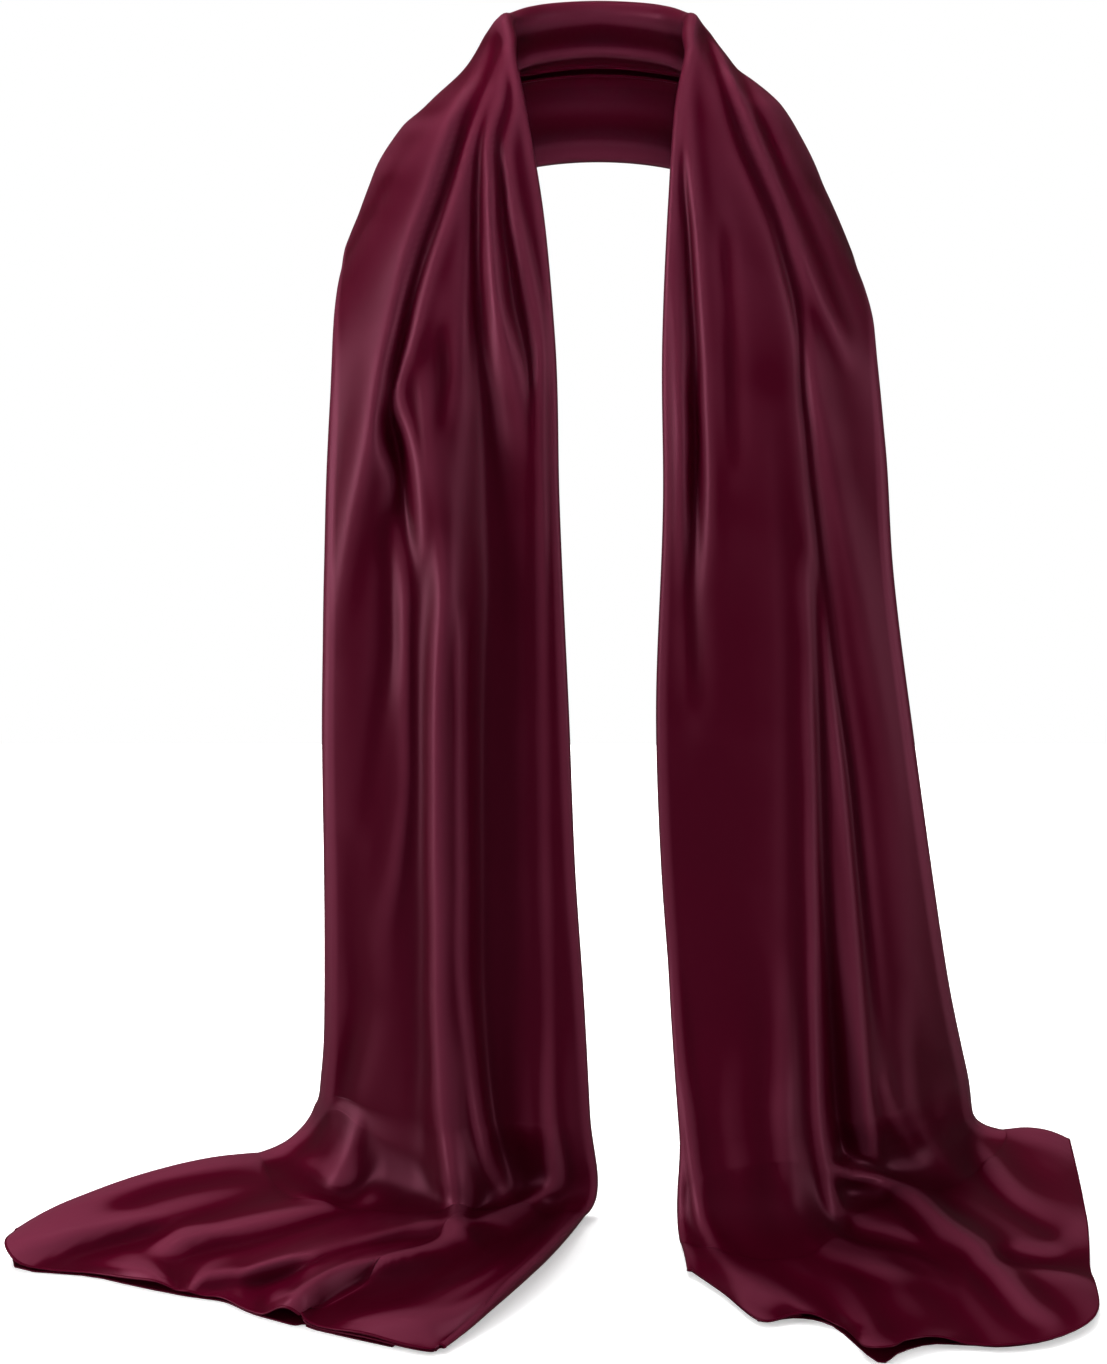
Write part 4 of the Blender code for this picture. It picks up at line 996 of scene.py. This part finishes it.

# %% [markdown]
# ## Satin
#
# Dyed polyester satin is dark and deep in colour, with a soft sheen where it faces the light. The warp
# threads float over the weft, so its surface is a fine grain of long threads along the scarf. A photo
# of cloth could be wrapped round it, but a pattern of noise has no seams and no fixed size. It reads
# the flat map of the cloth, so it follows every fold. Light and shade are also painted into the colour:
# a painted highlight on the crests and painted shade in the troughs.

# %% Satin shader
MIX_A, MIX_B, MIX_COLOUR = 6, 7, 2                # sockets of the Mix node when it mixes colours
THREADS = ((1900.0, 210.0, 1.0), 2.0)             # scale across and along the cloth, and detail
SLUBS = ((330.0, 24.0, 1.0), 2.0)                 # thicker places in the threads
DRAPE = ((26.0, 11.0, 1.0), 3.0)                  # soft unevenness of the whole cloth
PAINTED_SHADE_MIX, PAINTED_HIGHLIGHT_MIX, DRAPE_MIX = 0.85, 0.9, 0.25             # how far painted shade, painted highlight and drape noise change the colour
ROUGHNESS, ROUGH_SLUBS, ROUGH_DRAPE = 0.32, 0.08, 0.06
THREAD_DEPTH, SLUB_DEPTH, DRAPE_DEPTH = 0.012, 0.03, 0.3       # share of the bump's millimetre
BUMP_STRENGTH = 0.6
SHEEN_OF_SATIN = {"IOR": 1.45, "Specular IOR Level": 0.3, "Specular Tint": (1.0, 0.24, 0.44, 1.0)}


def satin(name, painted_trough_shade, body, painted_crest_light):
    """Burgundy satin: painted shade in the troughs, body colour on the flat, a painted highlight on the
    crests.
    """
    finish = Finish(name)
    flat = finish.node("ShaderNodeUVMap", {"uv_map": "cloth"}, {}).outputs["UV"]
    painted_light_mask = finish.amount("ShaderNodeAttribute", {"attribute_name": "painted_crest_light"}, {}, "Fac")

    def pattern(scale, detail):
        """Noise that is stretched along the cloth."""
        stretched = finish.node("ShaderNodeMapping", {}, {"Vector": flat, "Scale": scale})
        return finish.amount("ShaderNodeTexNoise", {}, {
            "Vector": stretched.outputs["Vector"], "Scale": 1.0, "Detail": detail})

    def mixed(share, under, top):
        """Colour that goes from under to top with the share."""
        return finish.node("ShaderNodeMix", {"data_type": "RGBA", "clamp_factor": True}, {
            0: share, MIX_A: under, MIX_B: top}).outputs[MIX_COLOUR]

    threads, slubs, drape = pattern(*THREADS), pattern(*SLUBS), pattern(*DRAPE)
    # Painted shade: the colour goes towards the trough colour where the crest mask is below zero.
    dark = mixed(0.0 - painted_light_mask * PAINTED_SHADE_MIX, (*body, 1.0), (*painted_trough_shade, 1.0))
    # Painted highlight: the colour goes towards the crest colour on crests, and a little at random with the
    # drape noise.
    light = mixed(painted_light_mask * PAINTED_HIGHLIGHT_MIX + (drape - 0.5) * DRAPE_MIX, dark, (*painted_crest_light, 1.0))
    relief = threads * THREAD_DEPTH + slubs * SLUB_DEPTH + drape * DRAPE_DEPTH
    bump = finish.node("ShaderNodeBump", {}, {"Height": relief, "Strength": BUMP_STRENGTH, "Distance": MM})
    finish.put(finish.shader, {
        "Base Color": light, "Roughness": ROUGHNESS + slubs * ROUGH_SLUBS + drape * ROUGH_DRAPE,
        "Normal": bump.outputs["Normal"], **SHEEN_OF_SATIN})
    return finish.material


# Colours in order: trough (painted shade), body, crest (painted highlight). The hems carry no crest mask,
# so on them only the drape noise lightens the body colour.
cloth = satin("burgundy_satin_painted_light", (0.022, 0.0001, 0.0028), (0.036, 0.0001, 0.005), (0.084, 0.012, 0.026))
rolled = satin("rolled_hem_satin", (0.022, 0.0001, 0.0028), (0.037, 0.0001, 0.0052), (0.072, 0.006, 0.018))
print("satin nodes:", len(cloth.node_tree.nodes))

# %% [markdown]
# ## Finish of every stretch
#
# Each stretch gets the burgundy satin, and its rolled hem the hem's satin.

# %% Finishes
for name, node in STRETCHES:
    pieces[name].data.materials.append(cloth)
    hems[name].data.materials.append(rolled)

# %% [markdown]
# ## Light
#
# Satin shows its folds by what it mirrors. Two tall soft boxes at the sides draw the long lines of
# light on the falls, and one high light in front reaches the floor. The fills and the sun only
# brighten the cloth: they are left out of its gloss, which would turn grey under so many lights.

# %% Studio lights
STUDIO_LIGHTS = (          # name, place, target, size, watts, whether its mirror image shows
    ("left_softbox", (-1.55, -0.6, -0.1), (0.0, 0.0, -0.3), (0.7, 1.5), 28.0, True),
    ("right_softbox", (1.55, -0.7, -0.1), (0.0, 0.0, -0.3), (0.7, 1.5), 11.0, True),
    ("front_high", (0.0, -2.4, 2.7), (0.0, 0.0, -0.3), (2.4, 1.6), 6.5, True),
    ("front_fill", (0.0, -2.6, 0.4), (0.0, 0.0, -0.1), (1.6, 1.2), 21.0, False),
    ("neck_fill", (0.0, -1.3, 0.5), (0.0, 0.06, 0.0), (0.3, 0.3), 0.2, False),
    ("back_high", (-0.5, 1.0, 2.2), (0.0, -0.2, -0.6), (1.6, 1.2), 150.0, False),
)
NECK_SPREAD = np.radians(18.0)
SUN_STRENGTH, SUN_ANGLE, SUN_PLACE = 1.35, np.radians(60.0), (0.0, 0.0, 3.0)


def area_light(name, place, target, size, watts, mirrored):
    """Soft light at a place, turned towards a target by its tilt and its turn round z."""
    data = bpy.data.lights.new(name, "AREA")
    data.shape = "RECTANGLE"
    data.size, data.size_y = size
    data.energy = watts
    light = in_scene(name, data)
    light.location = place
    aim = np.array(target, float) - np.array(place, float)
    tilt = np.pi / 2 + np.arctan2(aim[2], np.hypot(aim[0], aim[1]))
    light.rotation_euler = (tilt, 0.0, np.arctan2(aim[1], aim[0]) - np.pi / 2)
    light.visible_glossy = mirrored
    return light


lights = {row[0]: area_light(*row) for row in STUDIO_LIGHTS}
lights["neck_fill"].data.spread = NECK_SPREAD
overhead = bpy.data.lights.new("overhead", "SUN")
overhead.energy = SUN_STRENGTH
overhead.angle = SUN_ANGLE
overhead_light = in_scene("overhead", overhead)
overhead_light.location = SUN_PLACE
overhead_light.visible_glossy = False
print("lights:", ", ".join(lights))

# %% [markdown]
# ## Floor and background
#
# The floor is a sheet of matt white paper that the two ends lie on. It gives off a little light of its
# own, so that it stays as pale as the background. The background is white to the camera and nearly
# dark to the cloth, because a white room all round would wash out the satin.

# %% Floor and background
FLOOR_CORNERS = ((-1.2, -0.75), (1.2, -0.75), (1.2, 0.9), (-1.2, 0.9))
PAPER = {"Base Color": (0.9, 0.9, 0.9, 1.0), "Roughness": 0.9, "Specular IOR Level": 0.1,
         "Emission Color": (1.0, 1.0, 1.0, 1.0), "Emission Strength": 0.35}
BACKGROUND_SEEN, BACKGROUND_LIGHTS = 1.0, 0.06    # strength to the camera, and to everything else

floor_mesh = bpy.data.meshes.new("studio_floor")
floor_mesh.from_pydata([(x, y, FLOOR * MM) for x, y in FLOOR_CORNERS], [], [(0, 1, 2, 3)])
floor = in_scene("studio_floor", floor_mesh)
floor.visible_glossy = False
paper = Finish("studio_paper")
paper.put(paper.shader, PAPER)
floor_mesh.materials.append(paper.material)

world = bpy.data.worlds.new("studio")
bpy.context.scene.world = world
world.use_nodes = True
nodes, links = world.node_tree.nodes, world.node_tree.links
background = nodes["Background"]
background.inputs["Color"].default_value = (1.0, 1.0, 1.0, 1.0)
path = nodes.new("ShaderNodeLightPath")
strength = nodes.new("ShaderNodeMath")
strength.operation = "MULTIPLY_ADD"
strength.inputs[1].default_value = BACKGROUND_SEEN - BACKGROUND_LIGHTS
strength.inputs[2].default_value = BACKGROUND_LIGHTS
links.new(path.outputs["Is Camera Ray"], strength.inputs[0])
links.new(strength.outputs[0], background.inputs["Strength"])
bpy.context.scene.view_settings.view_transform = "Standard"
print("floor height in m:", round(FLOOR * MM, 3))
